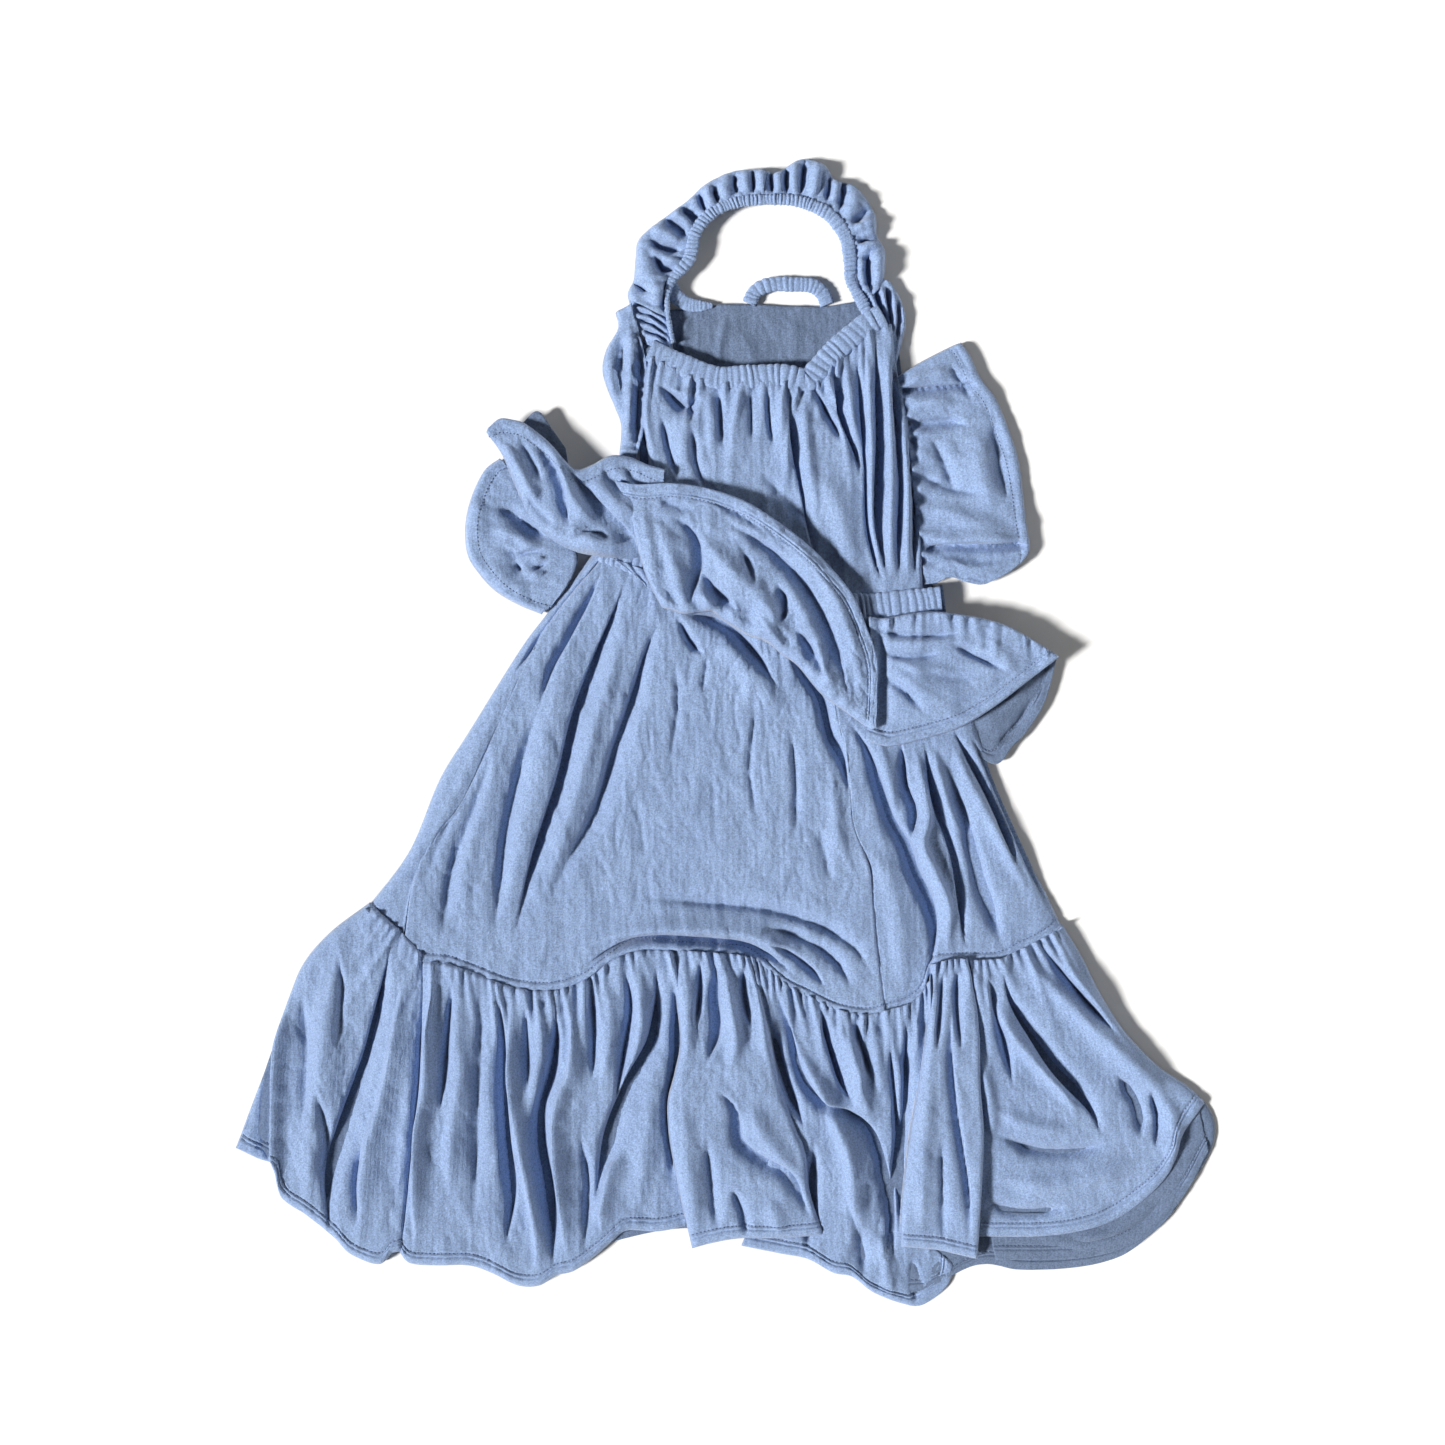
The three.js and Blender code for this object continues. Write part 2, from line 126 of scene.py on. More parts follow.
class Sheet:
    """A piece of cloth as a grid: rows run from its top edge to its bottom edge, columns from left to right.
    flat keeps where each point lies in plan before it is folded, point is where it ends up."""

    def __init__(self, top, bottom, left=None, right=None, fine_hem=None, paired=False):
        top, bottom = pairs(top), pairs(bottom)
        left = pairs(left or [*top[0], *bottom[0]])
        right = pairs(right or [*top[-1], *bottom[-1]])
        columns = int(max(length(top), length(bottom)) / STEP) + 2
        rows = int(max(length(left), length(right)) / STEP) + 2
        t = np.linspace(0, 1, rows)
        if fine_hem:
            deep = max(length(left), length(right))
            hem_rows = np.linspace(deep - HEM - 4, deep, 22) / deep
            t = np.r_[t[t < hem_rows[0] - 0.4 / rows], hem_rows]
            t = 1 - t[::-1] if fine_hem == "top" else t
            rows = len(t)
        spread = spline(top, columns, not paired), spline(bottom, columns, not paired)
        side_l, side_r = self.rows_of(left, t), self.rows_of(right, t)
        u = np.linspace(0, 1, columns)[None, :, None]
        v = t[:, None, None]
        corner = [spread[0][0], spread[0][-1], spread[1][0], spread[1][-1]]
        flat = (1 - v) * spread[0][None] + v * spread[1][None] + (1 - u) * side_l[:, None] + u * side_r[:, None]
        flat -= (1 - v) * ((1 - u) * corner[0] + u * corner[1]) + v * ((1 - u) * corner[2] + u * corner[3])
        self.flat = flat
        self.point = np.dstack([flat, np.zeros(flat.shape[:2])])
        across = np.linalg.norm(np.diff(flat, axis=1), axis=2)
        down = np.linalg.norm(np.diff(flat, axis=0), axis=2)
        self.from_left = np.hstack([np.zeros((rows, 1)), np.cumsum(across, 1)])
        self.from_top = np.vstack([np.zeros((1, columns)), np.cumsum(down, 0)])
        self.from_right = self.from_left[:, -1:] - self.from_left
        self.from_bottom = self.from_top[-1:] - self.from_top
        self.x, self.y = flat[..., 0], flat[..., 1]

    @staticmethod
    def rows_of(line, t):
        fine = spline(line, 200)
        at = np.linspace(0, 1, 200)
        return np.stack([np.interp(t, at, fine[:, k]) for k in range(2)], 1)

    def away(self, edge):
        """Each point's distance from an edge."""
        return {"top": self.from_top, "bottom": self.from_bottom, "left": self.from_left,
                "right": self.from_right}[edge]

    def beside(self, line):
        """Each point's signed distance from a line in plan, its share along it, and the line's normal there."""
        line = spline(line, max(3, int(length(line) / 8)))
        best = np.full(self.x.shape, 1e9)
        side, share = np.zeros_like(best), np.zeros_like(best)
        nx, ny = np.zeros_like(best), np.zeros_like(best)
        run = run_of(line)
        for i, (a, b) in enumerate(zip(line[:-1], line[1:], strict=True)):
            d = b - a
            size = np.hypot(*d)
            s = np.clip(((self.x - a[0]) * d[0] + (self.y - a[1]) * d[1]) / size**2, 0, 1)
            ox, oy = self.x - a[0] - s * d[0], self.y - a[1] - s * d[1]
            gap = np.hypot(ox, oy)
            near = gap < best
            best = np.where(near, gap, best)
            side = np.where(near, np.sign(-ox * d[1] + oy * d[0]) * -gap, side)
            share = np.where(near, (run[i] + s * size) / run[-1], share)
            nx, ny = np.where(near, -d[1] / size, nx), np.where(near, d[0] / size, ny)
        return side, share, nx, ny

    def fold(self, line, width, height, lean=0.0, ends=0.3):
        """A fold along a line: a ridge, or a valley where height is negative. width and height are one value or
        a start and an end. lean moves the crest sideways, by that share of its height, to the line's left."""
        side, share, nx, ny = self.beside(pairs(line))
        w = np.interp(share, [0, 1], np.broadcast_to(width, 2))
        h = np.interp(share, [0, 1], np.broadcast_to(height, 2))
        fade = smoothstep(share / ends) * smoothstep((1 - share) / ends) if ends else 1.0
        h = np.where(h < 0, VALLEY * h, RIDGE * h)
        sharp = np.where(h < 0, 1.45, 1.9)
        w = w * np.where(h < 0, 0.75, 1.0) * (0.4 + 0.6 * fade)
        bump = h * np.exp(-((np.abs(side) / w) ** sharp)) * fade
        self.point[..., 2] += bump
        self.point[..., 0] += nx * lean * np.abs(bump)
        self.point[..., 1] += ny * lean * np.abs(bump)

    def folds(self, *rows):
        for row in rows:
            self.fold(*row)

    def gathers(self, seed, pitch=7.0, height=3.0, reach=38.0, edge="top"):
        """Small pleats that start at a gathered seam and die out away from it."""
        away = self.away(edge)
        seam, rows = {"top": (self.from_left[:1], self.from_left), "bottom": (self.from_left[-1:], self.from_left),
                      "left": (self.from_top[:, :1], self.from_top),
                      "right": (self.from_top[:, -1:], self.from_top)}[edge]
        run = seam + np.zeros_like(self.x)
        wider = np.clip((rows + 20) / (run + 20), 0.5, 1.5)
        rng = np.random.default_rng(seed)
        count = int(run.max() / pitch) + 2
        for i in range(count):
            middle = (i + rng.uniform(-0.35, 0.35)) * pitch
            size = GATHER * height * rng.uniform(0.4, 1.15)
            long = reach * rng.lognormal(0, 0.55)
            wide = pitch * rng.uniform(0.28, 0.46)
            turn = rng.uniform(-0.16, 0.16)
            spread = wide * (1 + away / (long * 1.4)) / wider
            bump = np.exp(-(((run - middle - turn * away) / spread) ** 2))
            bump = size * bump * np.exp(-((away / long) ** 1.6))
            self.point[..., 2] += bump

    def crumple(self, seed, size=38.0, height=1.6, stretch=(1.0, 1.0), sharp=0.5):
        """Soft irregular swells with crisp creases that come and go, longer the way that stretch says."""
        px, py = self.x / size / stretch[0], self.y / size / stretch[1]
        for octave, share in ((1, 1.0), (2.3, 0.55), (5.1, 0.28)):
            bend = 0.5 * noise(px * octave * 0.6, py * octave * 0.6, seed + 50)
            n = noise(px * octave + bend, py * octave - bend, seed + int(octave))
            here = smoothstep(0.5 + 1.2 * noise(px * octave * 0.4 + 9, py * octave * 0.4, seed + 70))
            crease = np.exp(-np.abs(n) / 0.09) * here
            self.point[..., 2] += height * share * ((1 - 0.5 * sharp) * n - 0.75 * sharp * crease)

    def pull(self, *heights):
        """Sets the base height from a few known heights (x, y, z)."""
        total = np.zeros_like(self.x)
        weight = np.zeros_like(self.x)
        for x, y, z in heights:
            w = 1 / (np.hypot(self.x - x, self.y - y) + 12) ** 3.0
            total += w * z
            weight += w
        self.point[..., 2] += total / weight

    def roll(self, edge, radius, low):
        """Turns an edge down to a height in a quarter round."""
        away = self.away(edge)
        s = np.clip(away / radius, 0, 1)
        keep = np.sqrt(1 - (1 - s) ** 2)
        self.point[..., 2] = low + (self.point[..., 2] - low) * keep

    def floor(self, low):
        """Keeps the sheet above a height, with a soft landing."""
        z = self.point[..., 2] - low
        self.point[..., 2] = low + np.where(z > 2, z, 2 * np.exp(np.clip(z - 2, -6, 0) / 2))

    def hem(self, edge="bottom"):
        """The doubled hem: a little thicker, with a groove along its stitching."""
        away = self.away(edge)
        self.point[..., 2] += 1.1 * smoothstep((HEM + 0.8 - away) / 1.6)
        for row in (HEM, HEM - TWIN):
            self.point[..., 2] -= 1.5 * np.exp(-(((away - row) / 1.0) ** 2))

    def line_at(self, depth, edge="bottom"):
        """The line on the sheet at a depth from an edge."""
        away, p = self.away(edge), self.point
        if edge in ("left", "right"):
            away, p = away.T, p.transpose(1, 0, 2)
        if edge in ("bottom", "right"):
            away, p = away[::-1], p[::-1]
        return np.array([[np.interp(depth, away[:, i], p[:, i, k]) for k in range(3)] for i in range(p.shape[1])])


def noise(x, y, seed):
    """Smooth noise from -1 to 1 on a unit lattice."""
    rng = np.random.default_rng(seed)
    angle = rng.uniform(0, 2 * math.pi, (128, 128))
    xi, yi = np.floor(x).astype(int), np.floor(y).astype(int)
    fx, fy = x - xi, y - yi
    total = 0.0
    ux, uy = fx**3 * (fx * (6 * fx - 15) + 10), fy**3 * (fy * (6 * fy - 15) + 10)
    for i, wx in ((0, 1 - ux), (1, ux)):
        for j, wy in ((0, 1 - uy), (1, uy)):
            a = angle[(xi + i) % 128, (yi + j) % 128]
            total = total + wx * wy * (np.cos(a) * (fx - i) + np.sin(a) * (fy - j))
    return total * 1.5

# ---------------------------------------------------------------- meshes


def carry(piece, body):
    """Rides on a body; a piece given a pair of bodies is left in place, riding on neither."""
    if isinstance(body, str):
        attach(piece, body)
        return
    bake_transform(piece)


def mesh_object(name, points, faces, material):
    mesh = bpy.data.meshes.new(name)
    mesh.from_pydata([tuple(p) for p in to_frame(points)], [], faces)
    mesh.validate()
    mesh.update()
    mesh.polygons.foreach_set("use_smooth", [True] * len(mesh.polygons))
    mesh.materials.append(material)
    piece = bpy.data.objects.new(name, mesh)
    bpy.context.scene.collection.objects.link(piece)
    return piece


def grid_faces(rows, columns, wrap=False):
    i, j = np.meshgrid(np.arange(rows - 1), np.arange(columns if wrap else columns - 1), indexing="ij")
    a = i * columns + j
    b = i * columns + (j + 1) % columns
    return np.stack([a, a + columns, b + columns, b], -1).reshape(-1, 4).tolist()


def make_cloth(name, sheet, body, node, material):
    rows, columns = sheet.point.shape[:2]
    piece = mesh_object(name, sheet.point.reshape(-1, 3), grid_faces(rows, columns), material)
    solid = piece.modifiers.new("thickness", "SOLIDIFY")
    solid.thickness = CLOTH * UNIT
    solid.offset = -1
    if node:
        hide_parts(node)
    carry(piece, body)
    return piece


def run_of(line):
    """The distance along a line at each of its points."""
    return np.r_[0, np.cumsum(np.linalg.norm(np.diff(line, axis=0), axis=1))]


def make_stitches(name, line, body, material):
    """Short raised stitches along a line on the cloth, as one mesh."""
    points, faces = [], []
    run = run_of(line)
    up = np.array([0, 0, 1.0])
    for at in np.arange(SEW_PITCH, run[-1] - SEW_PITCH, SEW_PITCH):
        a, b = (np.array([np.interp(at + s, run, line[:, k]) for k in range(3)]) for s in (0, SEW_LONG))
        side = np.cross(up, (b - a) / (np.linalg.norm(b - a) + 1e-9))
        middle = (a + b) / 2 + up * SEW_LIFT
        base = len(points)
        points += [a, *(middle + side * SEW_THICK * sx + up * SEW_THICK * sz * 0.8
                        for sx, sz in ((1, 0), (0, 1), (-1, 0), (0, -1))), b]
        faces += [[base, base + 1 + k, base + 1 + (k + 1) % 4] for k in range(4)]
        faces += [[base + 5, base + 1 + (k + 1) % 4, base + 1 + k] for k in range(4)]
    piece = mesh_object(name, np.array(points), faces, material)
    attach(piece, body)
    return piece


def make_band(name, path, width, thick, body, material, pitch, ridge, slant, seed, step=0.9, flat_from=None,
              slot="gathered_jersey"):
    """Cloth ruched over an elastic: a flattened tube along a path of (x, y, z), with rounded ridges and sharp
    creases across it. width is one value or one for each path point."""
    path = np.asarray(path, float)
    count = int(length(path) / (step * 1)) + 2
    widths = np.interp(np.linspace(0, 1, count), np.linspace(0, 1, len(path)), np.broadcast_to(width, len(path)))
    line = spline(path, count)
    along = np.gradient(line, axis=0)
    along /= np.linalg.norm(along, axis=1)[:, None]
    side = np.cross([0, 0, 1.0], along)
    side /= np.linalg.norm(side, axis=1)[:, None]
    up = np.cross(along, side)
    run = run_of(line)
    rng = np.random.default_rng(seed)
    marks = np.cumsum(pitch * rng.uniform(0.6, 1.4, int(run[-1] / pitch * 1.8) + 40)) - 20 * pitch
    sizes = rng.uniform(0.45, 1.15, len(marks))
    around = np.linspace(0, 2 * math.pi, AROUND, endpoint=False)
    across = np.cos(around)
    rows = []
    for i in range(count):
        place = run[i] + slant * widths[i] / 2 * across + 0.1 * pitch * np.sin(2.2 * across + 0.8 * i * step / pitch)
        k = np.clip(np.searchsorted(marks, place) - 1, 0, len(marks) - 2)
        phase = (place - marks[k]) / (marks[k + 1] - marks[k])
        r = ridge * sizes[k] * np.abs(np.sin(math.pi * phase)) ** 0.6
        if flat_from:
            r = r * (1 - 0.75 * math.exp(-(((run[i] - flat_from[0]) / flat_from[1]) ** 2)))
        wide = np.sign(across) * np.abs(across) ** 0.7 * (widths[i] / 2 + 0.5 * r)
        high = np.sign(np.sin(around)) * np.abs(np.sin(around)) ** 0.75 * (thick / 2 + r)
        rows.append(line[i] + wide[:, None] * side[i] + high[:, None] * up[i])
    points = np.array(rows)
    points[..., 2] = np.maximum(points[..., 2], 0.4)
    ends = [[*reversed(range(AROUND))], [*range((count - 1) * AROUND, count * AROUND)]]
    faces = [f[::-1] for f in grid_faces(count, AROUND, wrap=True)] + ends
    piece = mesh_object(f"{name}_{slot}", points.reshape(-1, 3), faces, material)
    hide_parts(name)
    carry(piece, body)
    return piece

# ---------------------------------------------------------------- materials


def set_inputs(node, values):
    for name, value in values.items():
        node.inputs[name].default_value = value


def jersey_material(name, colour, shade=1.0):
    """Heathered cotton jersey: mottled yarn colour, fine knit columns and a soft fuzz. shade scales the whole colour,
    for lighter and darker copies that paint light and shade.
    """
    material = bpy.data.materials.new(name)
    material.use_nodes = True
    tree = material.node_tree
    link = tree.links.new

    def node(kind, **values):
        made = tree.nodes.new(kind)
        set_inputs(made, values)
        return made

    def two_colours(dark, light, start, end):
        made = node("ShaderNodeValToRGB")
        for stop, tone, place in zip(made.color_ramp.elements, (dark, light), (start, end), strict=True):
            stop.position, stop.color = place, (*tone, 1)
        return made

    surface = tree.nodes["Principled BSDF"]
    set_inputs(surface, {"Roughness": 0.92, "Specular IOR Level": 0.22, "Sheen Weight": 0.35, "Sheen Roughness": 0.45})
    where = node("ShaderNodeTexCoord")
    heather = node("ShaderNodeTexNoise", Scale=760, Detail=2)
    patches = node("ShaderNodeTexNoise", Scale=26, Detail=4)
    yarn = node("ShaderNodeTexNoise", Scale=420, Detail=3)
    knit = node("ShaderNodeTexWave", Scale=290, Distortion=3.0, Detail=2)
    for texture in (heather, patches, yarn, knit):
        link(where.outputs["Object"], texture.inputs["Vector"])
    ramp = two_colours([c * 0.7 * shade for c in colour], [min(1, c * 1.3 * shade) for c in colour], 0.34, 0.66)
    both = node("ShaderNodeMix", Factor=0.3)
    link(heather.outputs["Fac"], both.inputs["A"])
    link(yarn.outputs["Fac"], both.inputs["B"])
    link(both.outputs["Result"], ramp.inputs["Fac"])
    wash = node("ShaderNodeMix")
    wash.data_type = "RGBA"
    wash.blend_type = "MULTIPLY"
    wash.inputs["Factor"].default_value = 0.45
    wash_ramp = two_colours((0.8, 0.82, 0.86), (1, 1, 1), 0.35, 0.65)
    link(patches.outputs["Fac"], wash_ramp.inputs["Fac"])
    link(ramp.outputs["Color"], wash.inputs["A"])
    link(wash_ramp.outputs["Color"], wash.inputs["B"])
    link(wash.outputs["Result"], surface.inputs["Base Color"])
    grain = node("ShaderNodeMath")
    grain.operation = "ADD"
    link(knit.outputs["Fac"], grain.inputs[0])
    link(heather.outputs["Fac"], grain.inputs[1])
    bump = node("ShaderNodeBump", Strength=0.6, Distance=0.0005)
    link(grain.outputs["Value"], bump.inputs["Height"])
    link(bump.outputs["Normal"], surface.inputs["Normal"])
    return material


BLUE = (0.262, 0.362, 0.572)
JERSEY = jersey_material("jersey", BLUE)
# painted light: the casings, strap ruffles and strap feet use the same blue jersey made 4% lighter
LIT_GATHERED = jersey_material("gathered_jersey", BLUE, 1.04)
# painted shade: the back layer and the under-layers of the hems use a darker copy of the same blue jersey, where they
# lie in shade
SHADED_INSIDE = jersey_material("shaded_inside_jersey", (0.185, 0.255, 0.4), 0.82)
# painted shade: the stitches are a dark copy of the blue jersey, standing for the shade in the grooves of the
# stitching
SHADED_THREAD = jersey_material("shaded_thread", (0.14, 0.2, 0.34))
ELASTIC = jersey_material("elastic", (0.72, 0.71, 0.67))

# ---------------------------------------------------------------- pieces made of one sheet


def sewn_strip(sheet):
    """The strip above a seam that its topstitching holds flat."""
    sheet.point[..., 2] -= 1.4 * np.exp(-(((sheet.from_bottom - STRIP) / 1.3) ** 2))
    sheet.point[..., 2] += 1.0 * smoothstep((STRIP - sheet.from_bottom) / 1.5)


def cloth(name, top, bottom, left=None, right=None, heights=((0, 0, 10),), folds=(), gathers=(),
          crumple=(1, 30, 1.6, (1, 1.8), 0.6), hem="bottom", rolls=(), low=1.2, material=None, paired=False,
          node=True, body="dress"):
    """One sheet of jersey. Its four edges are lines of x, y, x, y. heights are (x, y, z) of its base, folds what
    Sheet.fold takes, gathers what Sheet.gathers takes, crumple what Sheet.crumple takes, and rolls what Sheet.roll
    takes. hem is the edge with the turned-up hem, or "strip" for a topstitched strip along the bottom. low is the
    height it stays above. It replaces the CAD node of its name, unless node is False."""
    sheet = Sheet(top, bottom, left, right, fine_hem=hem, paired=paired)
    sheet.pull(*heights)
    sheet.folds(*folds)
    for seam in gathers:
        sheet.gathers(*seam)
    if crumple:
        sheet.crumple(*crumple)
        sheet.crumple(crumple[0] + 200, crumple[1] * 0.42, crumple[2] * 0.42, crumple[3], 0.9)
    for edge in rolls:
        sheet.roll(*edge)
    if hem == "strip":
        sewn_strip(sheet)
    elif hem:
        sheet.hem(hem)
    sheet.floor(low)
    piece = make_cloth(name + "_jersey", sheet, body, name if node else None, material or JERSEY)
    sewn = []
    if hem:
        line = sheet.line_at(STRIP) if hem == "strip" else sheet.line_at(HEM, hem)
        sewn = [make_stitches(name + "_stitches", line, body, SHADED_THREAD)]
    return piece


# ---------------------------------------------------------------- skirt
# Edges are lines of x, y, x, y and so on. A fold is such a line with its width, height, lean and fade at the ends.

SIDE_LEFT = [-168, 46, -211, -10, -234, -41, -279, -113, -306, -157, -333, -221, -371, -272]
SIDE_RIGHT = [143, -10, 165, -70, 187, -143, 202, -185, 229, -239, 252, -288]
SEAM_A = [-158, 43, -201, -10, -227, -52, -280, -168, -306, -205, -328, -248, -338, -300]
SEAM_B = [44, -18, 50, -95, 58, -130, 62, -165, 66, -200, 80, -235, 83, -265, 87, -310, 94, -364]
TIER_LEFT = [-371, -272, -356, -286, -338, -300]
TIER_CENTRE = [
    -338, -319, -300, -321, -273, -330, -240, -342, -205, -345, -175, -336, -150, -318, -121, -309, -70, -312,
    -35, -315, -15, -324, 5, -341, 27, -352, 50, -363, 77, -368, 94, -364,
]
TIER_RIGHT = [
    94, -364, 112, -359, 126, -349, 133, -330, 140, -321, 162, -319, 195, -318, 214, -310, 236, -299, 252, -288,
]

SKIRT_CENTRE_FOLDS = [
    ([-158, 30, -176, 0, -192, -30, -208, -60, -216, -95], 3.2, -7, 0.3),
    ([-172, -5, -190, -45, -205, -110, -215, -160, -232, -220, -246, -290], 13, 5), ([-136, 25, -150, -20, -164, -60,
    -180, -105, -192, -155, -205, -195, -222, -245, -240, -305], (6, 4.5), (-12, -9), -0.55),
    ([-134, -10, -150, -60, -166, -110, -178, -160, -196, -215, -218, -280], 8, 4),
    ([-104, -8, -118, -42, -128, -82, -145, -130, -164, -190, -188, -230, -210, -270], (6, 9), (-9, -4), -0.3),
    ([-92, -12, -80, -35, -68, -46], 4, -5), ([-88, -8, -52, -20, -26, -45, -4, -74], 6, -9, 0.2),
    ([-70, -30, -40, -45, -15, -80, 10, -100], 12, 4),
    ([0, -30, 20, -60, 36, -85, 44, -118, 56, -140, 62, -175], 6, -10),
    ([-215, -90, -228, -130, -244, -195, -250, -240, -256, -300], 7, -5),
    ([-238, -100, -262, -165, -280, -225, -285, -290], 10, 3),
    ([-255, -130, -275, -185, -296, -245, -304, -310], 7, -4),
    ([-232, -60, -262, -120, -300, -200, -322, -260], 5, -2),
    ([-130, -262, -60, -266, -10, -272, 35, -286, 68, -308, 86, -342], (9, 7), -5, -0.2),
    ([-178, -326, -150, -309, -118, -300, -70, -302, -34, -306, -8, -317, 16, -334], (3, 4), -8, 0.3),
    ([-20, -286, 20, -300, 50, -320, 66, -348], 6, -5),
    ([-180, -312, -150, -296, -112, -287, -60, -288, -20, -294, 14, -314, 44, -338], (6, 8), 6, -0.4),
    ([-10, -300, 16, -318, 40, -342], 4, -7, 0.2), ([-95, -40, -92, -90, -100, -150], 4, -1.6),
    ([-65, -45, -70, -80], 3, -1.8), ([-20, -90, -28, -140, -20, -200], 4, -1.6),
    ([10, -110, 14, -170, 12, -215], 5, -2.5), ([-60, -150, -58, -220], 4, -1.2), ([35, -200, 45, -250], 6, -2),
    ([-130, -170, -120, -230], 5, -1.2), ([45, -140, 50, -200, 62, -240], 6, 3),
]
SKIRT_RIGHT_FOLDS = [
    ([58, -100, 76, -130, 85, -160, 96, -192, 110, -216, 118, -240, 131, -268, 136, -292,
    133, -335], (5, 6), (-9, -13), 0.25), ([88, -120, 96, -160, 104, -190], 7, 4),
    ([72, -210, 98, -250, 108, -300, 108, -345], 11, 4), ([107, -120, 109, -160, 117, -186, 114, -216], 3.5, -9, 0.3),
    ([120, -122, 124, -160, 128, -190, 123, -215, 134, -240, 148, -275, 149, -315], 6.5, 8, 0.3),
    ([128, -120, 134, -150, 140, -180, 150, -204, 158, -232, 163, -270, 166, -315], 3.2, -12, -0.3),
    ([136, -128, 146, -160, 156, -190, 166, -215], 5, 6, -0.3),
    ([146, -140, 160, -185, 168, -215, 178, -252, 190, -285, 200, -312], (5, 10), (-8, -10), 0.3),
    ([153, -110, 174, -145, 192, -180, 204, -210, 212, -240], 3.5, -8, -0.3),
    ([150, -118, 168, -158, 188, -195, 206, -228, 224, -262], 6, 5),
    ([168, -115, 188, -150, 205, -188, 218, -220, 232, -252, 244, -278], 3.2, -8, -0.3),
    ([176, -140, 198, -182, 218, -226, 238, -265], 5, 4),
]

cloth("skirt_side_left", [-168, 46, -158, 43], TIER_LEFT, SIDE_LEFT, SEAM_A,
    heights=[(-160, 40, 17), (-230, -60, 14), (-300, -180, 14), (-345, -280, 12)],
    folds=[([-163, 36, -198, -8, -240, -65], 3, -5), ([-300, -200, -330, -265], 7, -2),
     ([-250, -90, -285, -160, -318, -225], 6, 2)],
    crumple=(3, 30, 1.4, (1, 1.6), 0.6), hem="strip", rolls=[("left", 13, 1.5), ("right", 2, 14),
     ("bottom", 3, 13.5)])
cloth("skirt_front_centre", [-158, 43, -120, 24, -60, 0, 0, -12, 44, -18], TIER_CENTRE, [*SEAM_A[:-2], -338, -319],
     SEAM_B,
    heights=[(-150, 35, 18), (40, -20, 19), (-230, -60, 15), (-100, -100, 16), (0, -120, 16), (-280, -250, 14),
     (-150, -250, 15), (0, -240, 17), (-100, -290, 18), (60, -300, 17), (60, -150, 15)],
    folds=SKIRT_CENTRE_FOLDS,
    crumple=(7, 26, 2.2, (0.8, 2.0), 0.8), hem="strip", rolls=[("bottom", 3, 14), ("left", 2, 14),
     ("right", 2, 14.5)])
cloth("skirt_side_right", [44, -18, 90, -18, 143, -10], TIER_RIGHT, SEAM_B, SIDE_RIGHT,
    heights=[(90, -20, 18), (140, -20, 12), (90, -150, 15), (170, -160, 14), (110, -300, 15), (200, -290, 13),
     (230, -240, 11)],
    folds=SKIRT_RIGHT_FOLDS,
    crumple=(11, 26, 1.6, (0.8, 2.2), 0.7), hem="strip", rolls=[("right", 16, 1.5), ("bottom", 3, 13.5),
     ("left", 2, 14.5)])

# ---------------------------------------------------------------- hem ruffle

cloth("hem_ruffle_left", [-368, -267, -350, -282, -334, -296, -318, -314], [-489, -488, -470, -497, -451, -506,
     -447, -532, -425, -548, -400, -568, -385, -583, -360, -592, -348, -582, -337, -580], [-368, -267, -405, -295,
     -430, -325, -445, -365, -460, -410, -475, -450, -489, -488], [-318, -314, -315, -380, -316, -420, -320, -460,
     -326, -500, -333, -540, -337, -580],
    heights=[(-350, -300, 14), (-430, -350, 9), (-400, -400, 15), (-475, -470, 5), (-420, -520, 13),
     (-340, -400, 17), (-345, -540, 16), (-330, -340, 16)],
    folds=[([-438, -340, -447, -400, -449, -450, -449, -505, -445, -540], 5, (7, 9), -0.5),
     ([-450, -380, -459, -430, -461, -470, -459, -510], 5, -8), ([-430, -345, -424, -400, -428, -470], 8, -3.5),
     ([-385, -290, -402, -350, -410, -420, -417, -480, -424, -548], 14, 6), ([-347, -300, -352, -335, -358, -372,
     -366, -405, -378, -440, -390, -475, -401, -515, -404, -570], (4, 9), (-9, -12), -0.5),
     ([-334, -322, -338, -360, -342, -400, -350, -440, -362, -480, -372, -530, -375, -585], (6, 9), 7, -0.5),
     ([-372, -480, -378, -510, -376, -560], 7, -5), ([-328, -340, -331, -400, -334, -470, -344, -540], 7, 3),
     ([-395, -310, -392, -350, -396, -400], 5, -3), ([-415, -430, -406, -480, -412, -520], 6, -4),
     ([-317, -325, -318, -420, -334, -580], 5, -12)],
    gathers=[(21, 7, 2.6, 30)], crumple=(31, 26, 2.1, (1, 2.0), 0.7), rolls=[("left", 14, 1.5), ("right", 6, 5),
     ("bottom", 9, 3), ("top", 4, 7.5)])
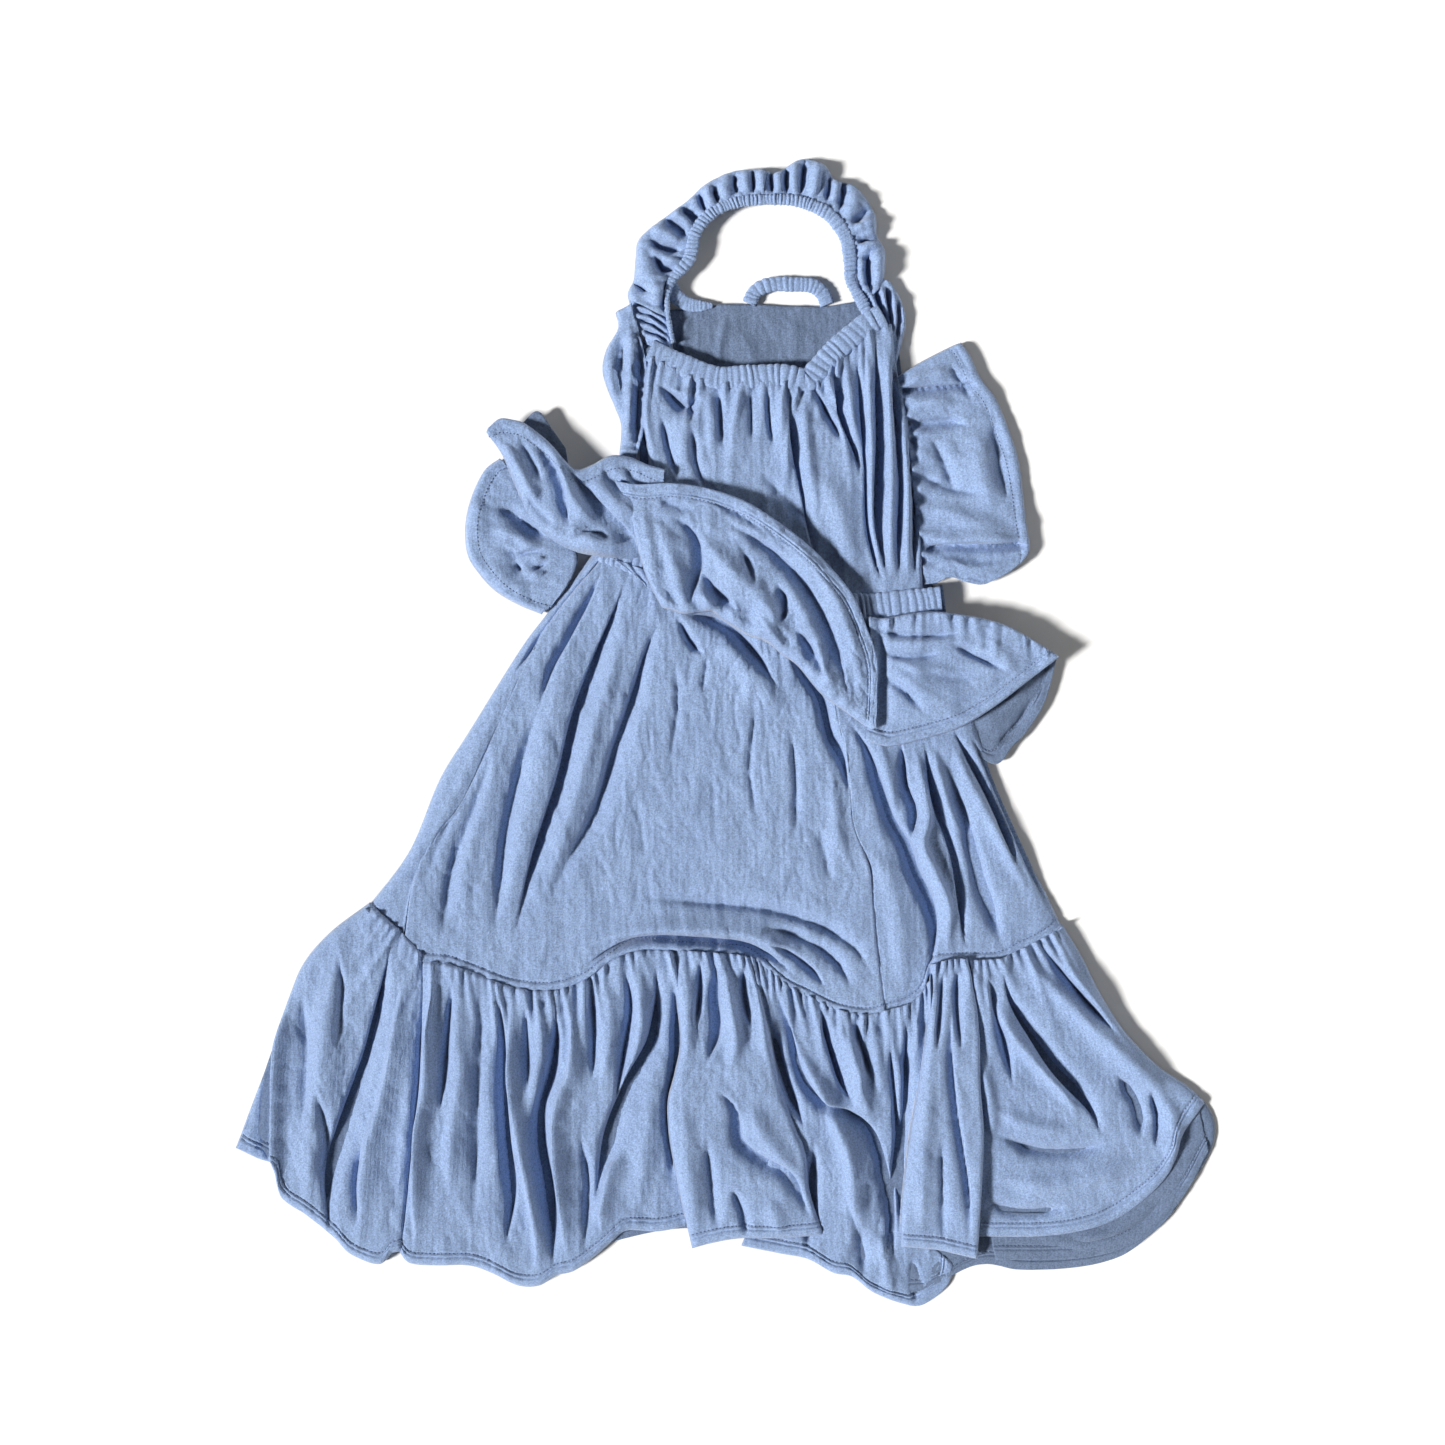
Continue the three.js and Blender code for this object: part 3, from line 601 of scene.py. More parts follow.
cloth("hem_ruffle_centre_left", [-321, -318, -300, -319, -273, -328, -240, -340, -205, -343, -175, -334, -150, -316,
     -121, -307, -94, -308], [-341, -582, -332, -591, -312, -593, -280, -593, -258, -600, -235, -611, -216, -611,
     -200, -602, -185, -598, -165, -584, -150, -571, -137, -562, -110, -563, -84, -558], [-321, -318, -322, -380,
     -324, -430, -329, -480, -336, -540, -341, -582], [-94, -308, -87, -350, -84, -400, -90, -440, -92, -480,
     -86, -520, -84, -558],
    heights=[(-300, -325, 16), (-200, -345, 14), (-120, -312, 16), (-300, -450, 17), (-260, -560, 15),
     (-225, -480, 17), (-215, -590, 15), (-150, -450, 15), (-120, -500, 12), (-180, -570, 14), (-100, -550, 8)],
    folds=[([-306, -322, -310, -370, -312, -430, -320, -470, -322, -520, -326, -588], (4, 6), 8, -0.5),
     ([-292, -330, -296, -370, -300, -420, -305, -460], 3.4, -5),
     ([-284, -340, -286, -380, -284, -420, -290, -470, -296, -540], 8, 5, -0.3),
     ([-268, -335, -268, -380, -270, -430, -272, -500, -275, -560], 8, -3.5),
     ([-251, -343, -250, -380, -250, -430, -247, -480, -242, -525, -246, -580], (4, 6), (-10, -12), 0.2),
     ([-241, -350, -239, -390, -237, -430, -230, -470, -222, -510, -215, -550, -216, -608], (5, 7), 8, -0.5),
     ([-228, -352, -226, -400, -226, -440], 4, -4), ([-217, -350, -214, -390, -218, -430, -224, -470], 6, 4),
     ([-203, -345, -200, -385, -205, -420, -214, -450, -214, -485, -206, -530, -203, -600], (3.5, 7.5), (-11, -14)),
     ([-188, -344, -183, -380, -184, -420, -196, -450, -197, -490, -192, -540, -190, -596], (5, 6), 8, -0.5),
     ([-170, -338, -167, -380, -168, -430], 4, -5), ([-158, -332, -152, -375, -158, -430], 7, 5),
     ([-180, -470, -172, -520, -176, -580], 6, -4), ([-140, -322, -134, -360, -140, -400, -148, -450], 4, -6),
     ([-128, -316, -122, -350, -124, -390, -134, -430, -146, -470], 6, 5, -0.3), ([-113, -312, -108, -350,
     -112, -390, -130, -428, -146, -462, -156, -500, -168, -545], (5, 9), (-9, -13), -0.3),
     ([-140, -490, -150, -515, -156, -545, -160, -565], 5, 6, -0.6),
     ([-112, -420, -118, -470, -126, -520, -130, -555], 9, 4),
     ([-96, -330, -92, -400, -98, -450, -96, -520], 6, -9)],
    gathers=[(22, 7, 3.4, 32)], crumple=(32, 24, 2.0, (1, 2.2), 0.7), rolls=[("left", 5, 8), ("bottom", 9, 3),
     ("top", 4, 8)])
cloth("hem_ruffle_centre", [-100, -308, -70, -310, -35, -313, -24, -318], [-79, -577, -60, -572, -35, -568, 0, -568,
     39, -565], [-100, -308, -95, -345, -90, -390, -95, -420, -101, -445, -100, -475, -95, -505, -89, -535,
     -79, -577], [-24, -318, -16, -350, -7, -395, 0, -430, 13, -465, 23, -490, 26, -525, 39, -565],
    heights=[(-90, -320, 16), (-40, -320, 17), (-80, -400, 20), (-30, -420, 21), (-70, -500, 20), (0, -500, 20),
     (-70, -565, 13), (20, -555, 14)],
    folds=[([-84, -318, -82, -360, -84, -410], 7, 4), ([-72, -315, -72, -345, -76, -380], 3, -6),
     ([-58, -318, -60, -350, -58, -380, -66, -410], 4.5, -9, 0.2),
     ([-46, -318, -46, -350, -40, -385, -46, -420], 7, 6), ([-33, -318, -32, -350, -26, -380], 3.5, -6),
     ([-22, -335, -16, -370, -12, -410], 6, 4),
     ([-62, -430, -44, -450, -40, -480, -22, -497, 4, -512, 18, -535, 30, -555], (5, 7), -7, 0.4),
     ([-30, -440, -18, -470, 0, -492, 16, -510], 9, 5), ([-88, -430, -84, -480, -78, -530, -72, -570], 8, 4),
     ([-66, -470, -62, -520, -56, -565], 6, -3.5), ([-44, -520, -34, -545, -30, -566], 5, -5),
     ([-8, -530, 2, -565], 7, 3)],
    gathers=[(23, 7, 3.6, 30)], crumple=(33, 26, 2.0, (1, 1.8), 0.7), rolls=[("left", 7, 8), ("right", 8, 9),
     ("bottom", 9, 6)], low=8)
cloth("hem_ruffle_under_fold", [-32, -311, -15, -322, 5, -339, 27, -350, 50, -361, 77, -366, 94, -362, 112, -357,
     126, -347, 136, -326], [-35, -576, 0, -583, 25, -588, 47, -600, 65, -604, 84, -618, 110, -628, 128, -629,
     150, -612, 155, -592], [-32, -311, -22, -380, -15, -430, -8, -480, -20, -530, -35, -576], [136, -326, 136, -390,
     130, -430, 122, -470, 118, -520, 130, -565, 155, -592],
    heights=[(0, -345, 14), (60, -368, 14), (110, -360, 15), (30, -450, 15), (80, -450, 14), (60, -550, 14),
     (100, -560, 11), (0, -560, 6), (110, -620, 6), (70, -600, 9), (145, -600, 5)],
    folds=[([-6, -340, 6, -380, 14, -420, 32, -445, 58, -458, 78, -474, 89, -505, 98, -550,
     100, -600], (4, 6), (-9, -9), 0.4), ([-10, -370, 4, -425, 22, -470], 5, -9),
     ([10, -380, 24, -410, 42, -440, 58, -475, 68, -515, 66, -560, 52, -598], (6, 10), 8, -0.3),
     ([36, -358, 46, -395, 55, -425, 64, -446], 3.5, -7, -0.3), ([48, -366, 62, -400, 74, -440, 84, -470], 7, 5),
     ([66, -370, 74, -400, 84, -430], 3.2, -6), ([82, -370, 86, -400, 92, -440], 6, 4),
     ([97, -365, 98, -400, 102, -440, 104, -475, 100, -520, 97, -560, 90, -600], 3, -5),
     ([112, -362, 112, -400, 112, -440, 108, -500, 106, -570], 5, -9), ([30, -480, 28, -530, 24, -585], 7, -6),
     ([60, -530, 70, -570, 76, -608], 8, -4, 0.3), ([104, -400, 110, -440, 109, -480], 4, 3),
     ([88, -560, 94, -590, 100, -625], 6, 4), ([118, -585, 122, -628], 5, -3)],
    gathers=[(24, 7, 3.4, 32)], crumple=(34, 24, 2.0, (1, 2.0), 0.7), rolls=[("right", 6, 3), ("bottom", 9, 2.5)])
cloth("hem_ruffle_front_fold", [133, -322, 148, -317, 167, -316], [108, -575, 140, -578, 158, -582, 176, -586],
     [133, -322, 132, -350, 128, -390, 122, -430, 115, -470, 110, -510, 107, -545, 108, -575], [167, -316, 174, -345,
     178, -385, 179, -430, 182, -475, 179, -540, 176, -586],
    heights=[(150, -320, 18), (140, -400, 27), (160, -450, 27), (130, -500, 25), (165, -520, 25), (140, -570, 15)],
    folds=[([146, -320, 142, -360, 138, -400], 3.6, -6), ([158, -322, 157, -360, 160, -400], 4, -5),
     ([152, -350, 148, -400, 152, -450, 160, -500, 166, -545, 168, -584], 4, -5, 0.5),
     ([134, -400, 130, -450, 126, -500, 126, -575], 7, 4), ([143, -470, 144, -520, 146, -577], 5, -3)],
    gathers=[(25, 6, 3.4, 30)], crumple=(35, 26, 1.6, (1, 2.0), 0.7), rolls=[("left", 8, 12), ("right", 5, 12),
     ("bottom", 9, 8)], low=10)
cloth("hem_ruffle_right", [168, -318, 195, -316, 214, -308, 236, -297, 253, -287], [177, -567, 230, -567, 270, -562,
     300, -552, 325, -535, 345, -515, 355, -495, 361, -475, 381, -447], [168, -318, 175, -360, 178, -420, 180, -480,
     178, -540, 177, -567], [253, -287, 270, -315, 285, -345, 300, -370, 315, -390, 340, -415, 365, -432, 381, -447],
    heights=[(180, -330, 16), (240, -310, 13), (190, -420, 17), (230, -370, 17), (290, -380, 13), (250, -440, 15),
     (340, -440, 12), (280, -500, 13), (200, -500, 14), (200, -560, 8), (300, -540, 8), (350, -480, 13),
     (372, -450, 12)],
    folds=[([178, -330, 190, -355, 208, -382, 236, -414, 256, -436, 268, -466], (6, 8), 7, -0.3),
     ([198, -325, 206, -350, 224, -378, 244, -407, 264, -430, 280, -452, 288, -478], (4.5, 6), (-9, -12), -0.4),
     ([218, -312, 240, -340, 262, -362, 300, -398, 335, -432, 352, -462], (7, 11), 7),
     ([232, -305, 250, -330, 275, -360, 300, -384], 3.6, -6, 0.2),
     ([242, -298, 262, -332, 290, -364, 318, -396, 350, -424], 5, 4),
     ([184, -330, 194, -365, 202, -400, 208, -432], 5, -6), ([176, -400, 186, -440, 190, -480], 6, 4),
     ([300, -420, 318, -450, 322, -480], 6, -6, 0.3), ([190, -472, 225, -488, 265, -490, 300, -480], 7, -5),
     ([188, -450, 225, -466, 262, -470], 7, 3.5), ([186, -510, 230, -518, 280, -512, 322, -492], 9, 4),
     ([180, -535, 215, -545, 262, -540], 6, -4), ([345, -440, 352, -468, 344, -500], 7, 4),
     ([330, -430, 338, -462, 334, -490], 4, -4)],
    gathers=[(26, 7, 3.2, 34)], crumple=(36, 32, 1.7, (1.2, 1.6), 0.6), rolls=[("right", 12, 3), ("bottom", 8, 5)])
cloth("hem_ruffle_back", [-369, -272, -200, -335, 0, -335, 130, -335, 252, -290], [-487, -487, -449, -505, -425, -540,
     -385, -572, -330, -582, -280, -585, -225, -602, -160, -575, -80, -560, 0, -575, 60, -598, 115, -618, 176, -593,
     215, -597, 265, -595, 305, -585, 335, -563, 352, -545], [-369, -272, -404, -298, -444, -368, -474, -452,
     -487, -487], [252, -290, 300, -373, 340, -418, 374, -440, 389, -460, 390, -482, 379, -506, 352, -545],
    heights=[(0, -400, 3.5), (0, -550, 3), (300, -550, 4), (350, -480, 5)],
    folds=[([200, -560, 280, -575, 335, -555, 372, -500], 8, 2)],
    crumple=(37, 30, 0.7, (1, 1.5), 0.5), low=0.9, rolls=[("right", 6, 1)], material=SHADED_INSIDE)
cloth("hem_turned_edge", [185, -545, 250, -545, 310, -530, 345, -500, 362, -470, 374, -446], [193, -588, 240, -588,
     280, -585, 310, -576, 337, -559, 362, -530, 384, -490], [185, -545, 193, -588], [374, -446, 384, -490],
    heights=[(200, -570, 5), (300, -560, 5.5), (370, -480, 6)],
    folds=[([250, -572, 300, -562, 345, -532], 4, 2)],
    crumple=(38, 26, 0.8, (1.5, 1), 0.5), low=2.6, material=SHADED_INSIDE, node=False)

# ---------------------------------------------------------------- back half and bodice

cloth("skirt_back", [-163, 40, -60, 2, 0, -10, 143, -12], [-366, -274, -200, -340, 0, -340, 130, -340, 248, -290],
     [-163, 40, -208, -12, -277, -115, -331, -222, -366, -274], [143, -12, 186, -144, 228, -240, 248, -290],
    heights=[(0, -100, 3), (0, -300, 3.5)],
    crumple=(41, 40, 0.7, (1, 1.5), 0.4), hem=None, low=0.9)
cloth("bodice_back", [-120, 256, -100, 264, -80, 265, -60, 269, -25, 269, 0, 268, 35, 267, 58, 270, 78, 272, 103, 256],
     [-158, 48, -60, 10, 0, 0, 146, -6], [-120, 256, -126, 200, -128, 165, -126, 129, -134, 90, -158, 48], [103, 256,
     110, 200, 118, 160, 124, 108, 130, 40, 146, -6],
    heights=[(0, 262, 5), (-80, 240, 5), (0, 200, 3.5), (0, 50, 3)],
    folds=[([-48, 262, -53, 238, -57, 212], 4, 2.2), ([-36, 246, -28, 230, -20, 208], 5, 1.6),
     ([10, 262, 14, 240, 10, 215], 6, 1.2), ([-80, 258, -88, 240, -84, 222], 4, 2)],
    crumple=(42, 26, 1.6, (1, 1.3), 0.5), hem=None, low=0.9, material=SHADED_INSIDE)

cloth("bodice_front", [-119, 222, -92, 208, -62, 197, -35, 197, 0, 198, 24, 191, 42, 209, 55, 223, 68, 234, 82, 245,
     101, 250], [-135, 58, -60, 20, 20, 5, 80, 8, 129, 10], [-119, 222, -123, 195, -125, 168, -119, 130, -122, 92,
     -135, 58], [101, 250, 105, 212, 110, 190, 116, 159, 122, 108, 127, 55, 129, 10],
    heights=[(-100, 200, 15), (-60, 180, 16), (0, 185, 16), (80, 220, 16), (60, 100, 16), (0, 120, 15),
     (-60, 120, 15), (110, 120, 13), (100, 30, 16), (0, 50, 14)],
    folds=[([-110, 196, -96, 182, -84, 172, -76, 178, -70, 190], 5, -7, 0.2),
     ([-100, 192, -88, 186, -80, 190], 4, 4), ([-96, 175, -90, 160, -84, 120], 8, 4),
     ([-106, 168, -100, 140, -92, 112], 4, -4), ([-78, 160, -76, 130, -66, 100], 5, -4),
     ([-66, 192, -62, 165, -62, 130], 6, 4), ([-54, 195, -54, 165, -52, 138], 3, -4),
     ([-40, 195, -38, 160, -36, 120], 8, 3), ([-27, 195, -26, 160, -24, 140], 3, -2.5),
     ([-11, 196, -10, 165, -6, 138], 2.6, -3.5), ([0, 196, 3, 160, 8, 110], 5, 3.5),
     ([9, 196, 11, 165, 16, 130, 23, 98, 29, 60, 33, 30], 3.2, (-7, -5), -0.5),
     ([18, 192, 22, 160, 26, 120, 34, 80], 5, 4), ([28, 196, 36, 178, 46, 160, 56, 143], 3.2, -6, 0.2),
     ([38, 206, 46, 190, 54, 172], 4, 5), ([48, 214, 52, 190, 57, 165, 69, 138, 72, 110], 3.5, -8, -0.3),
     ([58, 222, 62, 195, 66, 165, 72, 130], 4, 5, -0.3),
     ([66, 228, 72, 195, 76, 160, 79, 120, 80, 80, 85, 40, 94, 12], 3.2, (-7, -9), -0.3),
     ([76, 236, 80, 195, 83, 150, 84, 100, 86, 60, 92, 20], 3.6, 6, -0.3),
     ([84, 240, 88, 195, 90, 150, 89, 100, 90, 60, 97, 15], 3.0, -8, -0.3),
     ([92, 244, 98, 195, 100, 150, 101, 100, 99, 50, 101, 15], 3.8, 6, -0.3),
     ([99, 235, 105, 180, 108, 140, 110, 100, 107, 50, 105, 12], 2.8, -9, -0.3),
     ([108, 190, 112, 150, 115, 110, 114, 60, 113, 14], 3.2, 5, -0.2),
     ([112, 180, 118, 140, 120, 95, 120, 50, 120, 14], 2.6, -8), ([30, 120, 50, 90, 60, 50, 66, 20], 12, 5),
     ([-20, 120, 0, 100, 30, 70], 10, -3)],
    gathers=[(51, 6.5, 3.4, 26)], crumple=(52, 22, 1.6, (0.8, 2.4), 0.6), hem=None, rolls=[("left", 8, 2),
     ("right", 8, 2)])

cloth("flutter_right", [104, 204, 125, 217, 150, 230, 162, 235], [129, 18, 140, 19, 152, 24, 168, 19, 183, 18, 205, 29,
     221, 43], [104, 204, 112, 160, 119, 100, 125, 55, 129, 18], [162, 235, 170, 224, 180, 203, 194, 184, 207, 152,
     215, 124, 220, 80, 224, 52, 221, 43],
    heights=[(110, 190, 6), (120, 100, 6), (128, 40, 6), (160, 220, 12), (165, 120, 12), (210, 120, 9),
     (200, 60, 14), (165, 40, 11)],
    folds=[([103, 189, 124, 191, 152, 193, 176, 196], 2.6, -8, 0.3, 0.1), ([108, 198, 130, 204, 155, 208], 6, 4),
     ([106, 180, 130, 182, 160, 178], 7, 4), ([108, 168, 124, 160, 150, 163, 170, 160], 5, -6.5, 0.2),
     ([112, 176, 118, 150, 124, 120], 5, -2), ([118, 140, 140, 130, 170, 128, 195, 138], 9, 3),
     ([120, 118, 150, 105, 185, 100], 6, -3), ([122, 85, 150, 82, 180, 70, 210, 66], 8, 4),
     ([126, 58, 150, 58, 178, 60, 216, 56], 6, 7, -0.3), ([128, 46, 150, 51, 180, 50, 221, 52], 3, -9, 0.3, 0.1),
     ([130, 34, 150, 38, 175, 32, 205, 35], 5, 3), ([150, 215, 162, 200, 172, 180], 5, -2.5),
     ([190, 170, 196, 130, 204, 90], 7, -3), ([135, 150, 150, 120, 160, 95], 8, -4),
     ([175, 160, 180, 120, 190, 80], 10, 4)],
    gathers=[(61, 9, 3, 22, "left")], crumple=(62, 26, 2.2, (1.6, 1), 0.8), hem="right", rolls=[("right", 5, 2.5),
     ("top", 4, 4)], body="right_flutter")
cloth("flutter_left", [-148, 262, -133, 268], [-145, 131, -131, 126], [-148, 262, -146, 248, -156, 230, -160, 212,
     -156, 195, -149, 178, -143, 160, -145, 131], [-133, 268, -126, 240, -120, 210, -121, 180, -124, 150, -131, 126],
    heights=[(-140, 255, 9), (-145, 210, 9), (-135, 160, 9), (-125, 200, 8)],
    folds=[([-138, 262, -134, 240, -132, 215, -134, 190, -136, 160, -138, 135], 3.6, 5),
     ([-146, 246, -142, 225, -145, 205, -142, 180], 3.5, -4),
     ([-130, 245, -126, 215, -127, 190, -128, 160, -131, 130], 3.4, -8), ([-152, 225, -150, 205, -148, 188], 4, 3)],
    gathers=[(63, 8, 2.6, 16, "right")], crumple=(64, 16, 1.6, (1, 2), 0.6), hem=None, rolls=[("left", 5, 1.5)])

# ---------------------------------------------------------------- peplum

cloth("peplum_right", [78, -11, 90, -13, 120, -8, 146, -8, 190, -16, 220, -30, 245, -46], [76, -122, 88, -126,
     100, -127, 130, -120, 160, -110, 190, -92, 220, -69, 246, -49], [78, -11, 80, -70, 76, -122], [245, -46,
     246, -49],
    heights=[(85, -30, 25), (150, -30, 28), (120, -70, 31), (190, -50, 30), (120, -115, 26), (230, -50, 25),
     (85, -110, 24)],
    folds=[([80, -20, 98, -27, 130, -29, 165, -26], 2.8, -4.5), ([84, -42, 112, -48, 145, -44], 3.4, -4.5),
     ([87, -22, 91, -50, 90, -85, 86, -116], 4.5, -6), ([86, -64, 108, -76, 126, -96], 5, -4),
     ([98, -50, 128, -60, 160, -58], 4, 3), ([150, -36, 175, -48, 200, -60], 4, -4),
     ([90, -34, 125, -36, 160, -32], 4, 3), ([115, -56, 150, -66, 180, -62], 6, -2),
     ([100, -60, 130, -82, 170, -84], 12, 2.5), ([86, -60, 92, -90, 90, -120], 7, -4),
     ([180, -30, 200, -50, 210, -68], 6, 2), ([140, -95, 180, -80, 215, -56], 6, -1.5)],
    gathers=[(71, 6.5, 3.2, 22)], crumple=(72, 24, 1.8, (1.8, 1), 0.8), rolls=[("top", 3, 21), ("bottom", 3, 21)],
     low=20.5, body="right_peplum")
cloth("peplum_back", [120, -18, 180, -20, 220, -32, 247, -48], [150, -112, 190, -143, 208, -127, 222, -112, 237, -86,
     247, -50], [120, -18, 130, -70, 150, -112], [247, -48, 247, -50],
    heights=[(150, -60, 7), (200, -110, 8), (235, -70, 9)],
    folds=[([190, -128, 210, -112, 228, -80], 5, -3), ([170, -110, 200, -95, 225, -62], 8, 3)],
    crumple=(73, 24, 1.0, (1, 1), 0.5), low=1.0, material=SHADED_INSIDE)
cloth("peplum_under", [-150, 40, -100, 22, -50, 0, 0, -10, 50, -12, 84, -12], [-128, 24, -104, 4, -60, 0, -20, -24,
     20, -50, 60, -82, 80, -90], [-150, 40, -128, 24], [84, -12, 80, -90],
    heights=[(-60, 10, 20), (40, -40, 20.4)],
    gathers=[(74, 6.5, 1.2, 18)], crumple=(75, 24, 0.5, (1, 1), 0.5), hem=None, low=18, node=False)
cloth("peplum_flap", [-147, 107, -125, 104, -100, 106, -68, 102, -34, 91, -3, 72, 24, 51, 45, 30, 64, 6, 76, -22,
     85, -50, 85, -85, 84, -111], [-106, -4, -95, -7, -84, -10, -62, -8, -50, -16, -30, -28, -12, -35, 0, -45,
     15, -56, 35, -80, 55, -95, 80, -113], [-147, 107, -137, 85, -130, 60, -125, 40, -118, 20, -106, -4], [84, -111,
     80, -113],
    heights=[(-140, 100, 26), (-80, 95, 31), (-10, 70, 33), (50, 15, 33), (80, -50, 30), (-110, 60, 28),
     (-60, 40, 31), (-40, 10, 33), (0, 0, 32), (30, -40, 30), (-90, 0, 26), (-40, -15, 28), (60, -80, 26)],
    folds=[([-124, 92, -118, 60, -112, 30, -108, 8], 7, 3),
     ([-114, 76, -102, 58, -94, 34, -88, 8, -86, -6], 8, 6, -0.2),
     ([-100, 76, -86, 68, -76, 52, -74, 34, -80, 14, -82, -6], 5, -6, 0.3),
     ([-72, 62, -60, 46, -44, 30, -26, 14, -8, -8, 10, -32], 10, 7, -0.2),
     ([-72, 30, -64, 14, -52, 2, -38, -8], 4.5, -6, 0.3), ([-76, 14, -64, -2, -50, -12], 5, 4),
     ([-34, 46, -27, 30, -22, 14], 4, -4), ([-4, 16, 2, 0, -2, -20], 4.5, -6, 0.3),
     ([-8, 34, 12, 8, 26, -18, 40, -46], 8, 5, -0.2), ([-18, -12, -8, -28, 4, -42], 5, 4),
     ([-56, 76, -34, 62, -10, 44, 14, 20, 32, -8, 45, -38, 54, -66, 62, -92], (5, 7), (-5, -7), 0.3),
     ([-20, 76, 8, 54, 32, 28, 48, 2, 60, -26, 68, -60, 72, -98], 6, 4), ([12, -22, 24, -40, 38, -66], 5, -5, 0.2),
     ([30, -30, 36, -56, 48, -80], 5, 4), ([-110, 94, -90, 84, -74, 84], 5, -2.5),
     ([-60, 88, -36, 78, -14, 62], 5, -2.5)],
    gathers=[(79, 15, 3.4, 24, "bottom")], crumple=(76, 20, 2.4, (1, 1), 0.7), hem="top", rolls=[("left", 5, 21),
     ("bottom", 10, 20), ("top", 2.5, 28)], low=20.6, body="turned_up_peplum")
cloth("peplum_left_tongue", [-260, 156, -250, 164, -238, 163, -228, 160, -214, 150, -203, 140, -192, 127, -182, 119,
     -168, 123, -152, 131, -135, 130, -118, 123, -103, 119], [-262, 152, -248, 132, -238, 108, -224, 78, -207, 59,
     -186, 47, -165, 42, -145, 40, -126, 42, -116, 62, -112, 80, -105, 100], [-260, 156, -262, 152], [-103, 119,
     -105, 100],
    heights=[(-255, 155, 22), (-230, 135, 27), (-200, 120, 27), (-215, 85, 26), (-160, 115, 25), (-120, 110, 24),
     (-185, 85, 30), (-150, 70, 26), (-160, 50, 28), (-130, 60, 24)],
    folds=[([-250, 146, -238, 130, -226, 108, -214, 84], 6, 5), ([-234, 148, -222, 128, -212, 106], 5, -3),
     ([-222, 145, -208, 126, -198, 104, -194, 84, -186, 64], 4, -6, 0.3),
     ([-206, 136, -196, 115, -188, 95, -176, 80, -162, 66], 6, 6, 0.2),
     ([-186, 116, -178, 100, -164, 84, -150, 70, -136, 58, -124, 52], (5, 4), -12, 0.4),
     ([-170, 112, -155, 98, -140, 84, -124, 76], 6, 4), ([-192, 70, -165, 54, -134, 48], 7, 6),
     ([-188, 58, -170, 64, -150, 56], 3, -5), ([-160, 120, -148, 108, -132, 100], 4, -5),
     ([-140, 122, -128, 108, -116, 96], 4, -4), ([-228, 96, -214, 80, -200, 66], 4, -4)],
    crumple=(77, 20, 2.0, (1, 1), 0.7), hem="top", rolls=[("bottom", 8, 20), ("top", 2.5, 21)], low=20)
cloth("peplum_left_lobe", [-240, 120, -232, 100, -222, 84, -208, 66, -194, 54, -182, 42, -190, 18, -205, -2],
     [-252, 131, -266, 120, -278, 95, -283, 70, -281, 45, -271, 28, -256, 12, -236, 0, -214, -9], [-240, 120,
     -252, 131], [-205, -2, -214, -9],
    heights=[(-250, 110, 14), (-270, 70, 12), (-240, 60, 15), (-240, 20, 13), (-215, 45, 16), (-200, 30, 14)],
    folds=[([-258, 88, -242, 80, -224, 66, -204, 56], 6, -6, 0.25),
     ([-262, 70, -246, 64, -228, 53, -208, 50], 6, 4), ([-252, 52, -240, 43, -235, 32, -233, 20], 2.4, -4.5, 0.2),
     ([-239, 41, -226, 46, -212, 48], 2.2, -3), ([-226, 42, -222, 34, -214, 31, -208, 37], 2.2, -5),
     ([-228, 32, -220, 26, -210, 27], 3, 4), ([-219, 41, -214, 38], 2.6, 4),
     ([-262, 42, -252, 28, -238, 16, -222, 8], 6, 3), ([-268, 96, -270, 74, -268, 54], 6, 3),
     ([-246, 60, -238, 56, -230, 48], 2.2, -3)],
    crumple=(78, 20, 1.8, (1, 1), 0.7), rolls=[("bottom", 6, 2.5)], low=1.4)
cloth("peplum_left_back", [-232, 160, -217, 172, -204, 156, -192, 139], [-225, 140, -212, 130, -200, 122, -188, 116],
    heights=[(-215, 150, 14)],
    crumple=(79, 18, 1.0, (1, 1), 0.5), hem=None, low=1.2, material=SHADED_INSIDE, node=False)

# ---------------------------------------------------------------- elastic bands


def cased_band(name, path, width, thick, body, pitch, ridge, seed, flat_from=None):
    """A ruched casing and the elastic inside it."""
    end = "_front" if name in ("neck", "waist") else ""
    make_band(f"{name}_casing{end}", path, width, thick, body, LIT_GATHERED, pitch, ridge, 0.1, seed,
              min(0.9, pitch / 6), flat_from)
    make_band(f"{name}_elastic{end}", path, np.maximum(np.asarray(width) - 3, 1.5), 1.6, body, ELASTIC, 1.6, 0.2, 0,
              seed, 1.0, slot="elastic")


